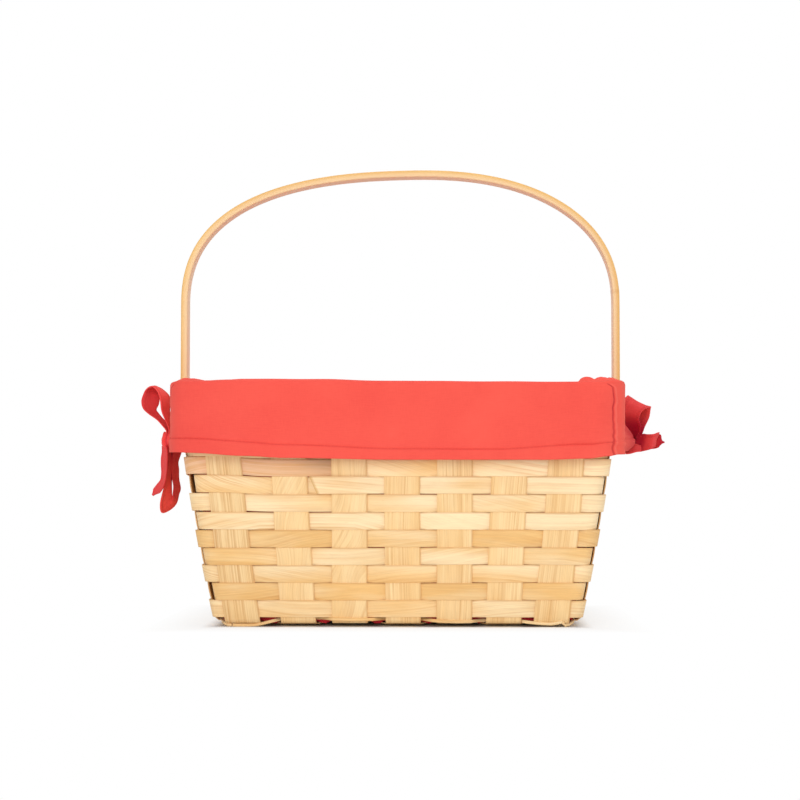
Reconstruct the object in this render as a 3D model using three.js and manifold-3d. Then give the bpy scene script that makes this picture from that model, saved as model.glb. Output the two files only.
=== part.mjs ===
// A chipwood basket: wide stakes and narrow weavers of flat wood splint, a bamboo handle that
// swings on two rivets, and a cotton liner folded over the rim and tied in a bow at each end.
// Millimetres, +Z up, +X along the basket, +Y to the back. The basket stands on z = 0.
import * as THREE from 'three';
import { mergeVertices } from 'three/addons/utils/BufferGeometryUtils.js';
import Module from 'manifold-3d';

// Clearance between neighbouring pieces.
const GAP = 0.3;

// Sides of the round pieces.
const NAIL_SIDES = 8;
const RIVET_SIDES = 16;

// The basket's body, measured on the middle surface of its walls.
const BASE_HALF_LENGTH = 129;
const RIM_HALF_LENGTH = 156.4;
const BASE_HALF_DEPTH = 95;
const RIM_HALF_DEPTH = 120;
const RIM_HEIGHT = 171;
const WALL_BELLY = 2.4;
const BASE_CORNER_RADIUS = 7;
const RIM_CORNER_RADIUS = 18;

// Stakes. They are laid by eye, so each has its own place, a share of the way from the middle of
// the base to its edge, and its own lean, a share of how far the wall widens above the base.
const STAKE_WIDTH = 25;
const STAKE_THICKNESS = 1;
const CROSS_STAKES = [
  { place: -0.845, lean: -0.6 },
  { place: -0.54, lean: -0.28 },
  { place: -0.26, lean: 0 },
  { place: 0.033, lean: -0.03 },
  { place: 0.312, lean: 0.02 },
  { place: 0.58, lean: 0.19 },
  { place: 0.84, lean: 0.49 },
];
const LENGTH_STAKES = [
  { place: -0.745, lean: -0.41 },
  { place: -0.375, lean: -0.05 },
  { place: 0, lean: 0 },
  { place: 0.375, lean: 0.05 },
  { place: 0.745, lean: 0.41 },
];
const STAKE_BEND = 3;
const STAKE_TOP_MARGIN = 0.5;
const STAKE_BEND_STEPS = 4;
const STAKE_WALL_STEPS = 5;
const BASE_LEVEL = 2.9;

// Weavers.
const WEAVER_WIDTH = 12;
const WEAVER_THICKNESS = 0.8;
const FIRST_WEAVER_HEIGHT = 6.8;
const WEAVE_MARGIN = 1.2;

// The reed that is laced round the edge of the base.
const BINDER_WIDTH = 3.5;
const BINDER_THICKNESS = 1.4;
const BINDER_OUTER_INSET = 2.65;
const BINDER_INNER_INSET = 6;

// Rim bands and their nails.
const BAND_WIDTH = 15;
const BAND_THICKNESS = 2;
const NAIL_DROP = 7.5;
const NAIL_HEAD_RADIUS = 1.5;
const NAIL_HEAD_THICKNESS = 0.6;
const NAIL_SHANK_RADIUS = 0.6;
const NAIL_HOLE_OVERRUN = 1;
const NAILED_CROSS_STAKES = [1, 3, 5];
const NAILED_LENGTH_STAKES = [0, 4];

// Handle.
const HANDLE_RISE = 168;
const HANDLE_SHOULDER_RISE = 65;
const HANDLE_WIDTH = 16;
const HANDLE_THICKNESS = 5.1;
const ARCH_POWER = 2.4;
const ARCH_STEPS = 44;
const LEG_END_SIDES = 24;
const PIVOT_DROP = 8;
const LEG_CLEARANCE = 0.6;

// Rivets and washers of the handle.
const RIVET_RADIUS = 2;
const RIVET_HEAD_RADIUS = 4.2;
const RIVET_HEAD_THICKNESS = 1.4;
const RIVET_CROWN_RADIUS = 3;
const RIVET_TAIL_RADIUS = 3.2;
const RIVET_TAIL_THICKNESS = 0.9;
const WASHER_RADIUS = 5;
const BACK_WASHER_THICKNESS = 1;

// Liner.
const CLOTH_THICKNESS = 1.2;
const BAG_INSET = 6.2;
const BAG_CORNER_RADIUS = 12;
const BAG_FLOOR_ROUNDING = 3;
const BAG_BASE_CLEARANCE = 0.4;
const BAG_ROWS = [0.35, 0.7];
const FLAP_DROP = 54;
const FLAP_ROWS = [0, 0.19, 0.35, 0.46, 0.57, 0.7, 0.85, 1];
const FLAP_COLUMNS = [-0.6, -0.2, 0.2, 0.6];
const FLAP_END_COLUMNS = 6;
const FLAP_LEAN = 0.05;
const FLAP_FLARE = 17.5;
const FLARE_START = 19;
const FLARE_END = 37;
const FLARE_SPREAD = 82;
const SLIT_HALF_WIDTH = 10.5;
const SLIT_TIED_HALF_WIDTH = 3;
const KNOT_DROP = 38;
const TIE_WIDTH = 9;
const TIE_OPENING_SIDES = 12;

// Colours.
const WOOD = { color: 0xecc98f, roughness: 0.6, metalness: 0 };
const WEAVER_WOOD = { color: 0xf3d9a6, roughness: 0.6, metalness: 0 };
const BAMBOO = { color: 0xeec48a, roughness: 0.45, metalness: 0 };
const STEEL = { color: 0xb9bbbd, roughness: 0.35, metalness: 1 };
const CLOTH = { color: 0xf44a42, roughness: 0.9, metalness: 0 };

const wasm = await Module();
wasm.setup();
const basket = new THREE.Group();

// Adds one named piece to the basket.
function addPiece(name, geometry, finish) {
  const mesh = new THREE.Mesh(geometry, new THREE.MeshStandardMaterial(finish));
  mesh.name = name;
  basket.add(mesh);
  return mesh;
}

// Keeps only the corners of a geometry, with the shared ones merged.
function weld(geometry) {
  const bare = geometry.clone();
  bare.deleteAttribute('normal');
  bare.deleteAttribute('uv');
  return mergeVertices(bare, 1e-4);
}

function solidOf(geometry) {
  const welded = weld(geometry);
  return new wasm.Manifold(new wasm.Mesh({
    numProp: 3,
    vertProperties: Float32Array.from(welded.attributes.position.array),
    triVerts: Uint32Array.from(welded.index.array),
  }));
}

function geometryOf(solid) {
  const mesh = solid.getMesh();
  const geometry = new THREE.BufferGeometry();
  geometry.setAttribute('position', new THREE.BufferAttribute(mesh.vertProperties, 3));
  geometry.setIndex(new THREE.BufferAttribute(mesh.triVerts, 1));
  return geometry;
}

// Builds a geometry from corners and triangles, turned so that its faces point out.
function shell(corners, triangles) {
  let volume = 0;
  for (const [a, b, c] of triangles) {
    volume += corners[a].dot(new THREE.Vector3().crossVectors(corners[b], corners[c]));
  }
  const facing = triangles.map(([a, b, c]) => (volume < 0 ? [a, c, b] : [a, b, c]));
  const geometry = new THREE.BufferGeometry().setFromPoints(corners);
  geometry.setIndex(facing.flat());
  return geometry;
}

// A closed ring of sections, each a loop of as many corners.
function ringShell(sections) {
  const sides = sections[0].length;
  const triangles = [];
  sections.forEach((section, i) => {
    const next = (i + 1) % sections.length;
    for (let k = 0; k < sides; k += 1) {
      const a = i * sides + k;
      const b = i * sides + ((k + 1) % sides);
      const c = next * sides + ((k + 1) % sides);
      const d = next * sides + k;
      triangles.push([a, b, c], [a, c, d]);
    }
  });
  return shell(sections.flat(), triangles);
}

// A sheet with a thickness, from matching grids of points on its two faces.
function sheetShell(innerGrid, outerGrid) {
  const rows = innerGrid[0].length;
  const columns = innerGrid.length;
  const outerStart = columns * rows;
  const at = (column, row, outer) => (outer ? outerStart : 0) + column * rows + row;
  const triangles = [];
  const quad = (a, b, c, d) => triangles.push([a, b, c], [a, c, d]);
  for (let i = 0; i < columns - 1; i += 1) {
    for (let k = 0; k < rows - 1; k += 1) {
      quad(at(i, k, true), at(i + 1, k, true), at(i + 1, k + 1, true), at(i, k + 1, true));
      quad(at(i, k, false), at(i, k + 1, false), at(i + 1, k + 1, false), at(i + 1, k, false));
    }
    quad(at(i, 0, false), at(i + 1, 0, false), at(i + 1, 0, true), at(i, 0, true));
    const last = rows - 1;
    quad(at(i, last, true), at(i + 1, last, true), at(i + 1, last, false), at(i, last, false));
  }
  for (let k = 0; k < rows - 1; k += 1) {
    const end = columns - 1;
    quad(at(0, k, true), at(0, k + 1, true), at(0, k + 1, false), at(0, k, false));
    quad(at(end, k, false), at(end, k + 1, false), at(end, k + 1, true), at(end, k, true));
  }
  return shell([...innerGrid.flat(), ...outerGrid.flat()], triangles);
}

// Half length, half depth and corner radius of the wall's middle surface at a height.
function between(base, rim, height) {
  return base + (rim - base) * (height / RIM_HEIGHT);
}

function belly(height) {
  const share = height / RIM_HEIGHT;
  return 4 * WALL_BELLY * share * (1 - share);
}

function halfLength(height) {
  return between(BASE_HALF_LENGTH, RIM_HALF_LENGTH, height) + belly(height);
}

function halfDepth(height) {
  return between(BASE_HALF_DEPTH, RIM_HALF_DEPTH, height) + belly(height);
}

function cornerRadius(height) {
  return between(BASE_CORNER_RADIUS, RIM_CORNER_RADIUS, height);
}

// The walls in turn: front, right end, back, left end. A place on a wall is a distance along it
// from its middle.
const WALLS = [
  { along: new THREE.Vector2(1, 0), out: new THREE.Vector2(0, -1), reach: halfDepth, span: halfLength },
  { along: new THREE.Vector2(0, 1), out: new THREE.Vector2(1, 0), reach: halfLength, span: halfDepth },
  { along: new THREE.Vector2(-1, 0), out: new THREE.Vector2(0, 1), reach: halfDepth, span: halfLength },
  { along: new THREE.Vector2(0, -1), out: new THREE.Vector2(-1, 0), reach: halfLength, span: halfDepth },
];

// Bands and cloth turn a corner in these steps, so that their faces stay side by side.
const CORNER_STEPS = 5;
const CORNER_TURNS = Array.from({ length: CORNER_STEPS + 1 }, (_, i) => i / CORNER_STEPS);

// A point at a height and an offset outwards from the wall. A station is a place on a wall, or a
// turn from 0 to 1 round the corner that follows the wall.
function wallPoint(station, height, offset) {
  const wall = WALLS[station.wall];
  const out = wall.out.clone();
  const along = wall.along.clone();
  if (station.turn === undefined) {
    const flat = along.multiplyScalar(station.place(height));
    flat.add(out.multiplyScalar(wall.reach(height) + offset));
    return new THREE.Vector3(flat.x, flat.y, height);
  }
  const radius = cornerRadius(height);
  const angle = (station.turn * Math.PI) / 2;
  const centre = wall.along.clone().multiplyScalar(wall.span(height) - radius);
  centre.add(wall.out.clone().multiplyScalar(wall.reach(height) - radius));
  const arm = out.multiplyScalar(Math.cos(angle)).add(along.multiplyScalar(Math.sin(angle)));
  centre.add(arm.multiplyScalar(radius + offset));
  return new THREE.Vector3(centre.x, centre.y, height);
}

// The middle of a stake at a height.
function stakePlace({ place, lean }, span, height) {
  return place * span(0) + lean * (span(height) - span(0));
}

// The stakes that cross a wall, in the order of its direction.
function stakesOn(wallIndex) {
  const crossing = wallIndex % 2 === 0 ? 'cross' : 'length';
  const laid = crossing === 'cross' ? CROSS_STAKES : LENGTH_STAKES;
  const sign = wallIndex < 2 ? 1 : -1;
  const { span } = WALLS[wallIndex];
  const stakes = laid.map((stake, index) => ({
    crossing,
    index,
    place: (height) => sign * stakePlace(stake, span, height),
  }));
  return sign > 0 ? stakes : stakes.reverse();
}

// Whether a row of the weave passes outside a stake.
function passesOutside(stake, row) {
  return (stake.index + row) % 2 === (stake.crossing === 'cross' ? 0 : 1);
}

// The stations of one row round the basket: both edges of each stake, and the corners. Each has
// the stake that it belongs to, or the two that it lies between and its share of the way.
function rowStations(turns) {
  const stations = [];
  for (let wall = 0; wall < WALLS.length; wall += 1) {
    const stakes = stakesOn(wall);
    for (const stake of stakes) {
      for (const side of [-1, 1]) {
        const edge = side * (STAKE_WIDTH / 2 + WEAVE_MARGIN);
        const place = (height) => {
          const end = WALLS[wall].span(height) - cornerRadius(height) - GAP;
          return THREE.MathUtils.clamp(stake.place(height) + edge, -end, end);
        };
        stations.push({ wall, place, from: stake, to: stake, share: 0 });
      }
    }
    const from = stakes[stakes.length - 1];
    const to = stakesOn((wall + 1) % WALLS.length)[0];
    for (const turn of turns) {
      stations.push({ wall, turn, from, to, share: turn });
    }
  }
  return stations;
}

function mix(a, b, share) {
  return a + (b - a) * share;
}

// The outline of a flat strip that follows a path, seen edge on.
function stripShape(path, thickness) {
  const left = [];
  const right = [];
  path.forEach((point, i) => {
    const before = path[Math.max(i - 1, 0)];
    const after = path[Math.min(i + 1, path.length - 1)];
    const into = point.clone().sub(before).normalize();
    const onward = after.clone().sub(point).normalize();
    const along = into.add(onward).normalize();
    const across = new THREE.Vector2(-along.y, along.x).multiplyScalar(thickness / 2);
    left.push(point.clone().add(across));
    right.unshift(point.clone().sub(across));
  });
  return new THREE.Shape([...left, ...right]);
}

// Half of a stake's path: from the base's last level, round the bend and up the wall.
function wallPath(reach, level) {
  const points = [];
  const bend = new THREE.QuadraticBezierCurve(
    new THREE.Vector2(reach(level) - STAKE_BEND, level),
    new THREE.Vector2(reach(level), level),
    new THREE.Vector2(reach(level + STAKE_BEND), level + STAKE_BEND),
  );
  points.push(...bend.getPoints(STAKE_BEND_STEPS));
  const top = RIM_HEIGHT - STAKE_TOP_MARGIN;
  for (let i = 1; i <= STAKE_WALL_STEPS; i += 1) {
    const height = mix(level + STAKE_BEND, top, i / STAKE_WALL_STEPS);
    points.push(new THREE.Vector2(reach(height), height));
  }
  return points;
}

function mirrored(points) {
  return points.map((point) => new THREE.Vector2(-point.x, point.y)).reverse();
}

// Moves a stake's solid to its place on the base, and leans it along the wall as it rises.
function leanWithWall(geometry, axis, stake, span) {
  const position = geometry.attributes.position;
  for (let i = 0; i < position.count; i += 1) {
    const height = Math.max(position.getZ(i), 0);
    const shift = stakePlace(stake, span, height);
    if (axis === 'x') {
      position.setX(i, position.getX(i) + shift);
    } else {
      position.setY(i, position.getY(i) + shift);
    }
  }
  return geometry;
}

// Turns a solid drawn in (length or depth, height) and extruded, so that it stands in the basket.
function standAcross(geometry) {
  const axes = [new THREE.Vector3(0, 1, 0), new THREE.Vector3(0, 0, 1), new THREE.Vector3(1, 0, 0)];
  return geometry.applyMatrix4(new THREE.Matrix4().makeBasis(...axes));
}

function standAlong(geometry) {
  const axes = [new THREE.Vector3(1, 0, 0), new THREE.Vector3(0, 0, 1), new THREE.Vector3(0, -1, 0)];
  return geometry.applyMatrix4(new THREE.Matrix4().makeBasis(...axes));
}

function extrudeCentred(shape, depth) {
  const geometry = new THREE.ExtrudeGeometry(shape, { depth, bevelEnabled: false });
  return geometry.translate(0, 0, -depth / 2);
}

// Holes are cut with a body that is a clearance larger than the pin.
function pinBody(profile, centre, direction, segments) {
  const points = profile.map(([radius, reach]) => new THREE.Vector2(radius, reach));
  const geometry = new THREE.LatheGeometry(points, segments);
  const turn = new THREE.Quaternion().setFromUnitVectors(new THREE.Vector3(0, 1, 0), direction);
  geometry.applyQuaternion(turn);
  return geometry.translate(centre.x, centre.y, centre.z);
}

// Rim nails: each goes in from outside through the outer band, a stake and the inner band.
const BAND_MIDDLE = STAKE_THICKNESS / 2 + GAP + BAND_THICKNESS / 2;
const BAND_OUTER = BAND_MIDDLE + BAND_THICKNESS / 2;
const nailHeight = RIM_HEIGHT - NAIL_DROP;

function nailProfile(grow, spare) {
  const headTop = BAND_OUTER - GAP + spare;
  const neck = BAND_OUTER - GAP - NAIL_HEAD_THICKNESS - grow;
  const tip = -BAND_OUTER + GAP - spare;
  return [
    [0, tip],
    [NAIL_SHANK_RADIUS + grow, tip],
    [NAIL_SHANK_RADIUS + grow, neck],
    [NAIL_HEAD_RADIUS + grow, neck],
    [NAIL_HEAD_RADIUS + grow, headTop],
    [0, headTop],
  ];
}

const nails = [];
for (let wall = 0; wall < WALLS.length; wall += 1) {
  const nailed = wall % 2 === 0 ? NAILED_CROSS_STAKES : NAILED_LENGTH_STAKES;
  for (const stake of stakesOn(wall).filter(({ index }) => nailed.includes(index))) {
    const station = { wall, place: stake.place };
    const centre = wallPoint(station, nailHeight, 0);
    const direction = new THREE.Vector3(WALLS[wall].out.x, WALLS[wall].out.y, 0);
    nails.push({ stake, centre, direction });
  }
}

// The pivots of the handle, at the middle of the ends.
const pivotHeight = RIM_HEIGHT - PIVOT_DROP;
const FLAP_INNER = BAND_OUTER + GAP;
const legInner = halfLength(RIM_HEIGHT) + FLAP_INNER + CLOTH_THICKNESS + LEG_CLEARANCE;
const legOuter = legInner + HANDLE_THICKNESS;
const bandSlope = halfLength(pivotHeight + WASHER_RADIUS) - halfLength(pivotHeight);
const washerInner = halfLength(pivotHeight) + BAND_OUTER + bandSlope + GAP;
const backWasherOuter = halfLength(pivotHeight) - BAND_OUTER - bandSlope - GAP;

const pivotHoles = [-1, 1].map((side) => {
  const from = backWasherOuter - WASHER_RADIUS;
  const to = legOuter + GAP;
  const radius = RIVET_RADIUS + GAP;
  const hole = new THREE.CylinderGeometry(radius, radius, to - from, RIVET_SIDES);
  return solidOf(hole.rotateZ(Math.PI / 2).translate((side * (from + to)) / 2, 0, pivotHeight));
});

const nailHoles = nails.map(({ centre, direction, stake }) => ({
  stake,
  solid: solidOf(pinBody(nailProfile(GAP, NAIL_HOLE_OVERRUN), centre, direction, NAIL_SIDES)),
}));

// A piece with its holes cut through it.
function drilled(geometry, holes) {
  return geometryOf(holes.reduce((solid, hole) => solid.subtract(hole), solidOf(geometry)));
}

function nailHolesIn(crossing, index) {
  const own = nailHoles.filter(({ stake }) => stake.crossing === crossing && stake.index === index);
  return own.map(({ solid }) => solid);
}

// Cross stakes: up the front wall, across the base and up the back wall.
CROSS_STAKES.forEach((laid, index) => {
  const wallHalf = wallPath(halfDepth, BASE_LEVEL);
  const shape = stripShape([...mirrored(wallHalf), ...wallHalf], STAKE_THICKNESS);
  const strip = standAcross(extrudeCentred(shape, STAKE_WIDTH));
  const stake = leanWithWall(strip, 'x', laid, halfLength);
  const holes = nailHolesIn('cross', index);
  addPiece(`cross_stake_${index + 1}`, holes.length ? drilled(stake, holes) : stake, WOOD);
});

// Length stakes: up both ends, and over and under the cross stakes on the base.
const LAYER = STAKE_THICKNESS + GAP;

function liesAbove(index, crossIndex) {
  return (index + crossIndex) % 2 === 0;
}

LENGTH_STAKES.forEach((laid, index) => {
  const endLevel = liesAbove(index, 0) ? BASE_LEVEL + LAYER : BASE_LEVEL;
  const wallHalf = wallPath(halfLength, endLevel);
  const base = CROSS_STAKES.flatMap((crossStake, crossIndex) => {
    const middle = stakePlace(crossStake, halfLength, 0);
    const level = BASE_LEVEL + (liesAbove(index, crossIndex) ? LAYER : -LAYER);
    const edge = STAKE_WIDTH / 2 + GAP;
    return [new THREE.Vector2(middle - edge, level), new THREE.Vector2(middle + edge, level)];
  });
  const shape = stripShape([...mirrored(wallHalf), ...base, ...wallHalf], STAKE_THICKNESS);
  const strip = standAlong(extrudeCentred(shape, STAKE_WIDTH));
  const stake = leanWithWall(strip, 'y', laid, halfDepth);
  const pivots = laid.place === 0 ? pivotHoles : [];
  const holes = [...nailHolesIn('length', index), ...pivots];
  addPiece(`length_stake_${index + 1}`, holes.length ? drilled(stake, holes) : stake, WOOD);
});

// Weavers: each row goes over one stake and behind the next, all round.
const bandBottom = RIM_HEIGHT - BAND_WIDTH;
const weaverSpace = bandBottom - FIRST_WEAVER_HEIGHT;
const weaverCount = Math.floor(weaverSpace / (WEAVER_WIDTH + GAP));
const weaverPitch = weaverSpace / weaverCount;
const weaverOffset = STAKE_THICKNESS / 2 + GAP + WEAVER_THICKNESS / 2;

for (let row = 1; row <= weaverCount; row += 1) {
  const bottom = FIRST_WEAVER_HEIGHT + (row - 1) * weaverPitch;
  const top = bottom + WEAVER_WIDTH;
  const offsetAt = (stake) => (passesOutside(stake, row) ? weaverOffset : -weaverOffset);
  const sections = rowStations([0, 1 / 2, 1]).map((station) => {
    const middle = mix(offsetAt(station.from), offsetAt(station.to), station.share);
    const inner = middle - WEAVER_THICKNESS / 2;
    const outer = middle + WEAVER_THICKNESS / 2;
    return [
      wallPoint(station, bottom, inner),
      wallPoint(station, bottom, outer),
      wallPoint(station, top, outer),
      wallPoint(station, top, inner),
    ];
  });
  addPiece(`weaver_${row}`, ringShell(sections), WEAVER_WOOD);
}

// Base binder: laced under and over the stakes where they leave the base. The basket stands on it.
function binderLevel(stake) {
  if (passesOutside(stake, 0)) {
    return BINDER_THICKNESS / 2;
  }
  const layer = stake.crossing === 'length' && liesAbove(stake.index, 0) ? LAYER : 0;
  return BASE_LEVEL + layer + STAKE_THICKNESS / 2 + GAP + BINDER_THICKNESS / 2;
}

const binderSections = rowStations([0, 1 / 2, 1]).map((station) => {
  const insetAt = (stake) => (passesOutside(stake, 0) ? BINDER_OUTER_INSET : BINDER_INNER_INSET);
  const inset = mix(insetAt(station.from), insetAt(station.to), station.share);
  const level = mix(binderLevel(station.from), binderLevel(station.to), station.share);
  return [[-1, -1], [1, -1], [1, 1], [-1, 1]].map(([out, up]) => {
    const point = wallPoint(station, 0, -inset + (out * BINDER_WIDTH) / 2);
    point.z = level + (up * BINDER_THICKNESS) / 2;
    return point;
  });
});
addPiece('base_binder', ringShell(binderSections), WEAVER_WOOD);

// Rim bands: one outside and one inside the tops of the stakes.
function bandRing(middle) {
  const sections = [];
  for (let wall = 0; wall < WALLS.length; wall += 1) {
    for (const turn of CORNER_TURNS) {
      const station = { wall, turn };
      sections.push([
        wallPoint(station, bandBottom, middle - BAND_THICKNESS / 2),
        wallPoint(station, bandBottom, middle + BAND_THICKNESS / 2),
        wallPoint(station, RIM_HEIGHT, middle + BAND_THICKNESS / 2),
        wallPoint(station, RIM_HEIGHT, middle - BAND_THICKNESS / 2),
      ]);
    }
  }
  return ringShell(sections);
}

const rimHoles = [...nailHoles.map(({ solid }) => solid), ...pivotHoles];
addPiece('outer_rim_band', drilled(bandRing(BAND_MIDDLE), rimHoles), WOOD);
addPiece('inner_rim_band', drilled(bandRing(-BAND_MIDDLE), rimHoles), WOOD);
nails.forEach(({ centre, direction }, index) => {
  addPiece(`rim_nail_${index + 1}`, pinBody(nailProfile(0, 0), centre, direction, NAIL_SIDES), STEEL);
});

// Handle: a bamboo strip bent to an arch, with round drilled ends.
const archBottom = RIM_HEIGHT + HANDLE_SHOULDER_RISE;
const archHeight = HANDLE_RISE - HANDLE_SHOULDER_RISE;

function archPoints(inset) {
  const points = [];
  for (let i = 0; i <= ARCH_STEPS; i += 1) {
    const angle = (Math.PI * i) / ARCH_STEPS;
    const across = Math.abs(Math.cos(angle)) ** (2 / ARCH_POWER) * Math.sign(Math.cos(angle));
    const up = Math.sin(angle) ** (2 / ARCH_POWER);
    const x = (legOuter - inset) * across;
    points.push(new THREE.Vector2(x, archBottom + (archHeight - inset) * up));
  }
  return points;
}

const handleOutline = new THREE.Shape([
  new THREE.Vector2(legOuter, pivotHeight),
  ...archPoints(0),
  new THREE.Vector2(-legOuter, pivotHeight),
  new THREE.Vector2(-legInner, pivotHeight),
  ...archPoints(HANDLE_THICKNESS).reverse(),
  new THREE.Vector2(legInner, pivotHeight),
]);
let handle = solidOf(standAlong(extrudeCentred(handleOutline, HANDLE_WIDTH)));
for (const side of [-1, 1]) {
  const radius = HANDLE_WIDTH / 2;
  const end = new THREE.CylinderGeometry(radius, radius, HANDLE_THICKNESS, LEG_END_SIDES);
  end.rotateZ(Math.PI / 2).translate((side * (legInner + legOuter)) / 2, 0, pivotHeight);
  handle = handle.add(solidOf(end));
}
handle = pivotHoles.reduce((solid, hole) => solid.subtract(hole), handle);
addPiece('handle', geometryOf(handle), BAMBOO);

// Rivets and washers, named for the end of the basket that they are on.
for (const [name, side] of [['left', -1], ['right', 1]]) {
  const headInner = legOuter + GAP;
  const tailOuter = backWasherOuter - BACK_WASHER_THICKNESS - GAP;
  const rivetProfile = [
    [0, tailOuter - RIVET_TAIL_THICKNESS],
    [RIVET_TAIL_RADIUS, tailOuter - RIVET_TAIL_THICKNESS],
    [RIVET_TAIL_RADIUS, tailOuter],
    [RIVET_RADIUS, tailOuter],
    [RIVET_RADIUS, headInner],
    [RIVET_HEAD_RADIUS, headInner],
    [RIVET_CROWN_RADIUS, headInner + RIVET_HEAD_THICKNESS],
    [0, headInner + RIVET_HEAD_THICKNESS],
  ];
  const axis = new THREE.Vector3(side, 0, 0);
  const pivot = new THREE.Vector3(0, 0, pivotHeight);
  addPiece(`${name}_rivet`, pinBody(rivetProfile, pivot, axis, RIVET_SIDES), STEEL);

  const washer = (inner, outer) => pinBody([
    [RIVET_RADIUS + GAP, inner],
    [WASHER_RADIUS, inner],
    [WASHER_RADIUS, outer],
    [RIVET_RADIUS + GAP, outer],
    [RIVET_RADIUS + GAP, inner],
  ], pivot, axis, RIVET_SIDES);
  addPiece(`${name}_spacer_washer`, washer(washerInner, legInner - GAP), STEEL);
  const backInner = backWasherOuter - BACK_WASHER_THICKNESS;
  addPiece(`${name}_back_washer`, washer(backInner, backWasherOuter), STEEL);
}

// Liner bag: hangs inside the basket and is folded over the rim.
const bagFloor = BASE_LEVEL + LAYER + STAKE_THICKNESS / 2 + GAP + BINDER_THICKNESS + BAG_BASE_CLEARANCE;

function bagRing(offset, height, radius) {
  const corners = [];
  for (let wall = 0; wall < WALLS.length; wall += 1) {
    const { along, out, reach, span } = WALLS[wall];
    for (const turn of CORNER_TURNS) {
      const angle = (turn * Math.PI) / 2;
      const centre = along.clone().multiplyScalar(span(height) + offset - radius);
      centre.add(out.clone().multiplyScalar(reach(height) + offset - radius));
      centre.add(out.clone().multiplyScalar(Math.cos(angle) * radius));
      centre.add(along.clone().multiplyScalar(Math.sin(angle) * radius));
      corners.push(new THREE.Vector3(centre.x, centre.y, height));
    }
  }
  return corners;
}

function bagGeometry() {
  const inner = BAG_INSET + CLOTH_THICKNESS;
  const lipUnder = RIM_HEIGHT + GAP;
  const lipTop = lipUnder + CLOTH_THICKNESS;
  const fold = BAG_FLOOR_ROUNDING;
  const innerRadius = BAG_CORNER_RADIUS - CLOTH_THICKNESS;
  const lipRadius = RIM_CORNER_RADIUS + BAND_OUTER;
  const rows = BAG_ROWS.map((share) => share * RIM_HEIGHT);
  const wallHeights = [bagFloor + fold, ...rows, RIM_HEIGHT - fold];
  const rings = [
    bagRing(-BAG_INSET - fold, bagFloor, BAG_CORNER_RADIUS - fold),
    ...wallHeights.map((height) => bagRing(-BAG_INSET, height, BAG_CORNER_RADIUS)),
    bagRing(-BAG_INSET + fold, lipUnder, BAG_CORNER_RADIUS + fold),
    bagRing(BAND_OUTER, lipUnder, lipRadius),
    bagRing(BAND_OUTER, lipTop, lipRadius),
    bagRing(-inner + fold, lipTop, BAG_CORNER_RADIUS + fold),
    ...wallHeights.reverse().map((height) => bagRing(-inner, height, innerRadius)),
    bagRing(-inner - fold, bagFloor + CLOTH_THICKNESS, innerRadius - fold),
  ];
  const sides = rings[0].length;
  const corners = rings.flat();
  const triangles = [];
  for (let i = 0; i < rings.length - 1; i += 1) {
    for (let k = 0; k < sides; k += 1) {
      const a = i * sides + k;
      const b = i * sides + ((k + 1) % sides);
      triangles.push([a, b, b + sides], [a, b + sides, a + sides]);
    }
  }
  const under = corners.push(new THREE.Vector3(0, 0, bagFloor)) - 1;
  const over = corners.push(new THREE.Vector3(0, 0, bagFloor + CLOTH_THICKNESS)) - 1;
  const lastRing = (rings.length - 1) * sides;
  for (let k = 0; k < sides; k += 1) {
    const next = (k + 1) % sides;
    triangles.push([under, next, k], [over, lastRing + k, lastRing + next]);
  }
  return shell(corners, triangles);
}
addPiece('liner_bag', bagGeometry(), CLOTH);

// Liner flaps: each hangs outside one long wall and half of both ends, up to the slits that the
// handle's legs stand in. The slits' edges are drawn together where they are tied.
const flapTop = RIM_HEIGHT + GAP + CLOTH_THICKNESS;
const knotHeight = RIM_HEIGHT - KNOT_DROP;

function slitHalf(height) {
  const share = THREE.MathUtils.smoothstep(RIM_HEIGHT - height, FLARE_START, KNOT_DROP);
  return mix(SLIT_HALF_WIDTH, SLIT_TIED_HALF_WIDTH, share);
}

// How far the cloth's inner face stands out from the wall.
function flapOffset(height, fromMiddle) {
  const hang = FLAP_INNER + FLAP_LEAN * (flapTop - height);
  const down = THREE.MathUtils.smoothstep(RIM_HEIGHT - height, FLARE_START, FLARE_END);
  const near = 1 - THREE.MathUtils.smoothstep(fromMiddle, 0, FLARE_SPREAD);
  return hang + FLAP_FLARE * down * near;
}

function flapStations(firstEnd) {
  const stations = [];
  const ends = (wall, sign) => {
    for (let i = 0; i < FLAP_END_COLUMNS; i += 1) {
      const share = (sign > 0 ? i : FLAP_END_COLUMNS - 1 - i) / FLAP_END_COLUMNS;
      const edge = (height) => WALLS[wall].span(height) - cornerRadius(height);
      const place = (height) => sign * mix(slitHalf(height), edge(height), share);
      stations.push({ wall, place, onEnd: true });
    }
  };
  const corner = (wall) => {
    for (const turn of CORNER_TURNS) {
      stations.push({ wall, turn });
    }
  };
  const long = (firstEnd + 1) % WALLS.length;
  ends(firstEnd, 1);
  corner(firstEnd);
  for (const share of FLAP_COLUMNS) {
    stations.push({ wall: long, place: (height) => share * WALLS[long].span(height) });
  }
  corner(long);
  ends((firstEnd + 2) % WALLS.length, -1);
  return stations;
}

function flapGeometry(firstEnd) {
  const drops = FLAP_ROWS.map((share) => share * FLAP_DROP);
  const grid = (thickness) => flapStations(firstEnd).map((station) => drops.map((drop) => {
    const height = flapTop - drop;
    const fromMiddle = station.onEnd ? Math.abs(station.place(height)) : FLARE_SPREAD;
    return wallPoint(station, height, flapOffset(height, fromMiddle) + thickness);
  }));
  return sheetShell(grid(0), grid(CLOTH_THICKNESS));
}
const LEFT_END = 3;
const RIGHT_END = 1;
addPiece('liner_front_flap', flapGeometry(LEFT_END), CLOTH);
addPiece('liner_back_flap', flapGeometry(RIGHT_END), CLOTH);

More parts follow.
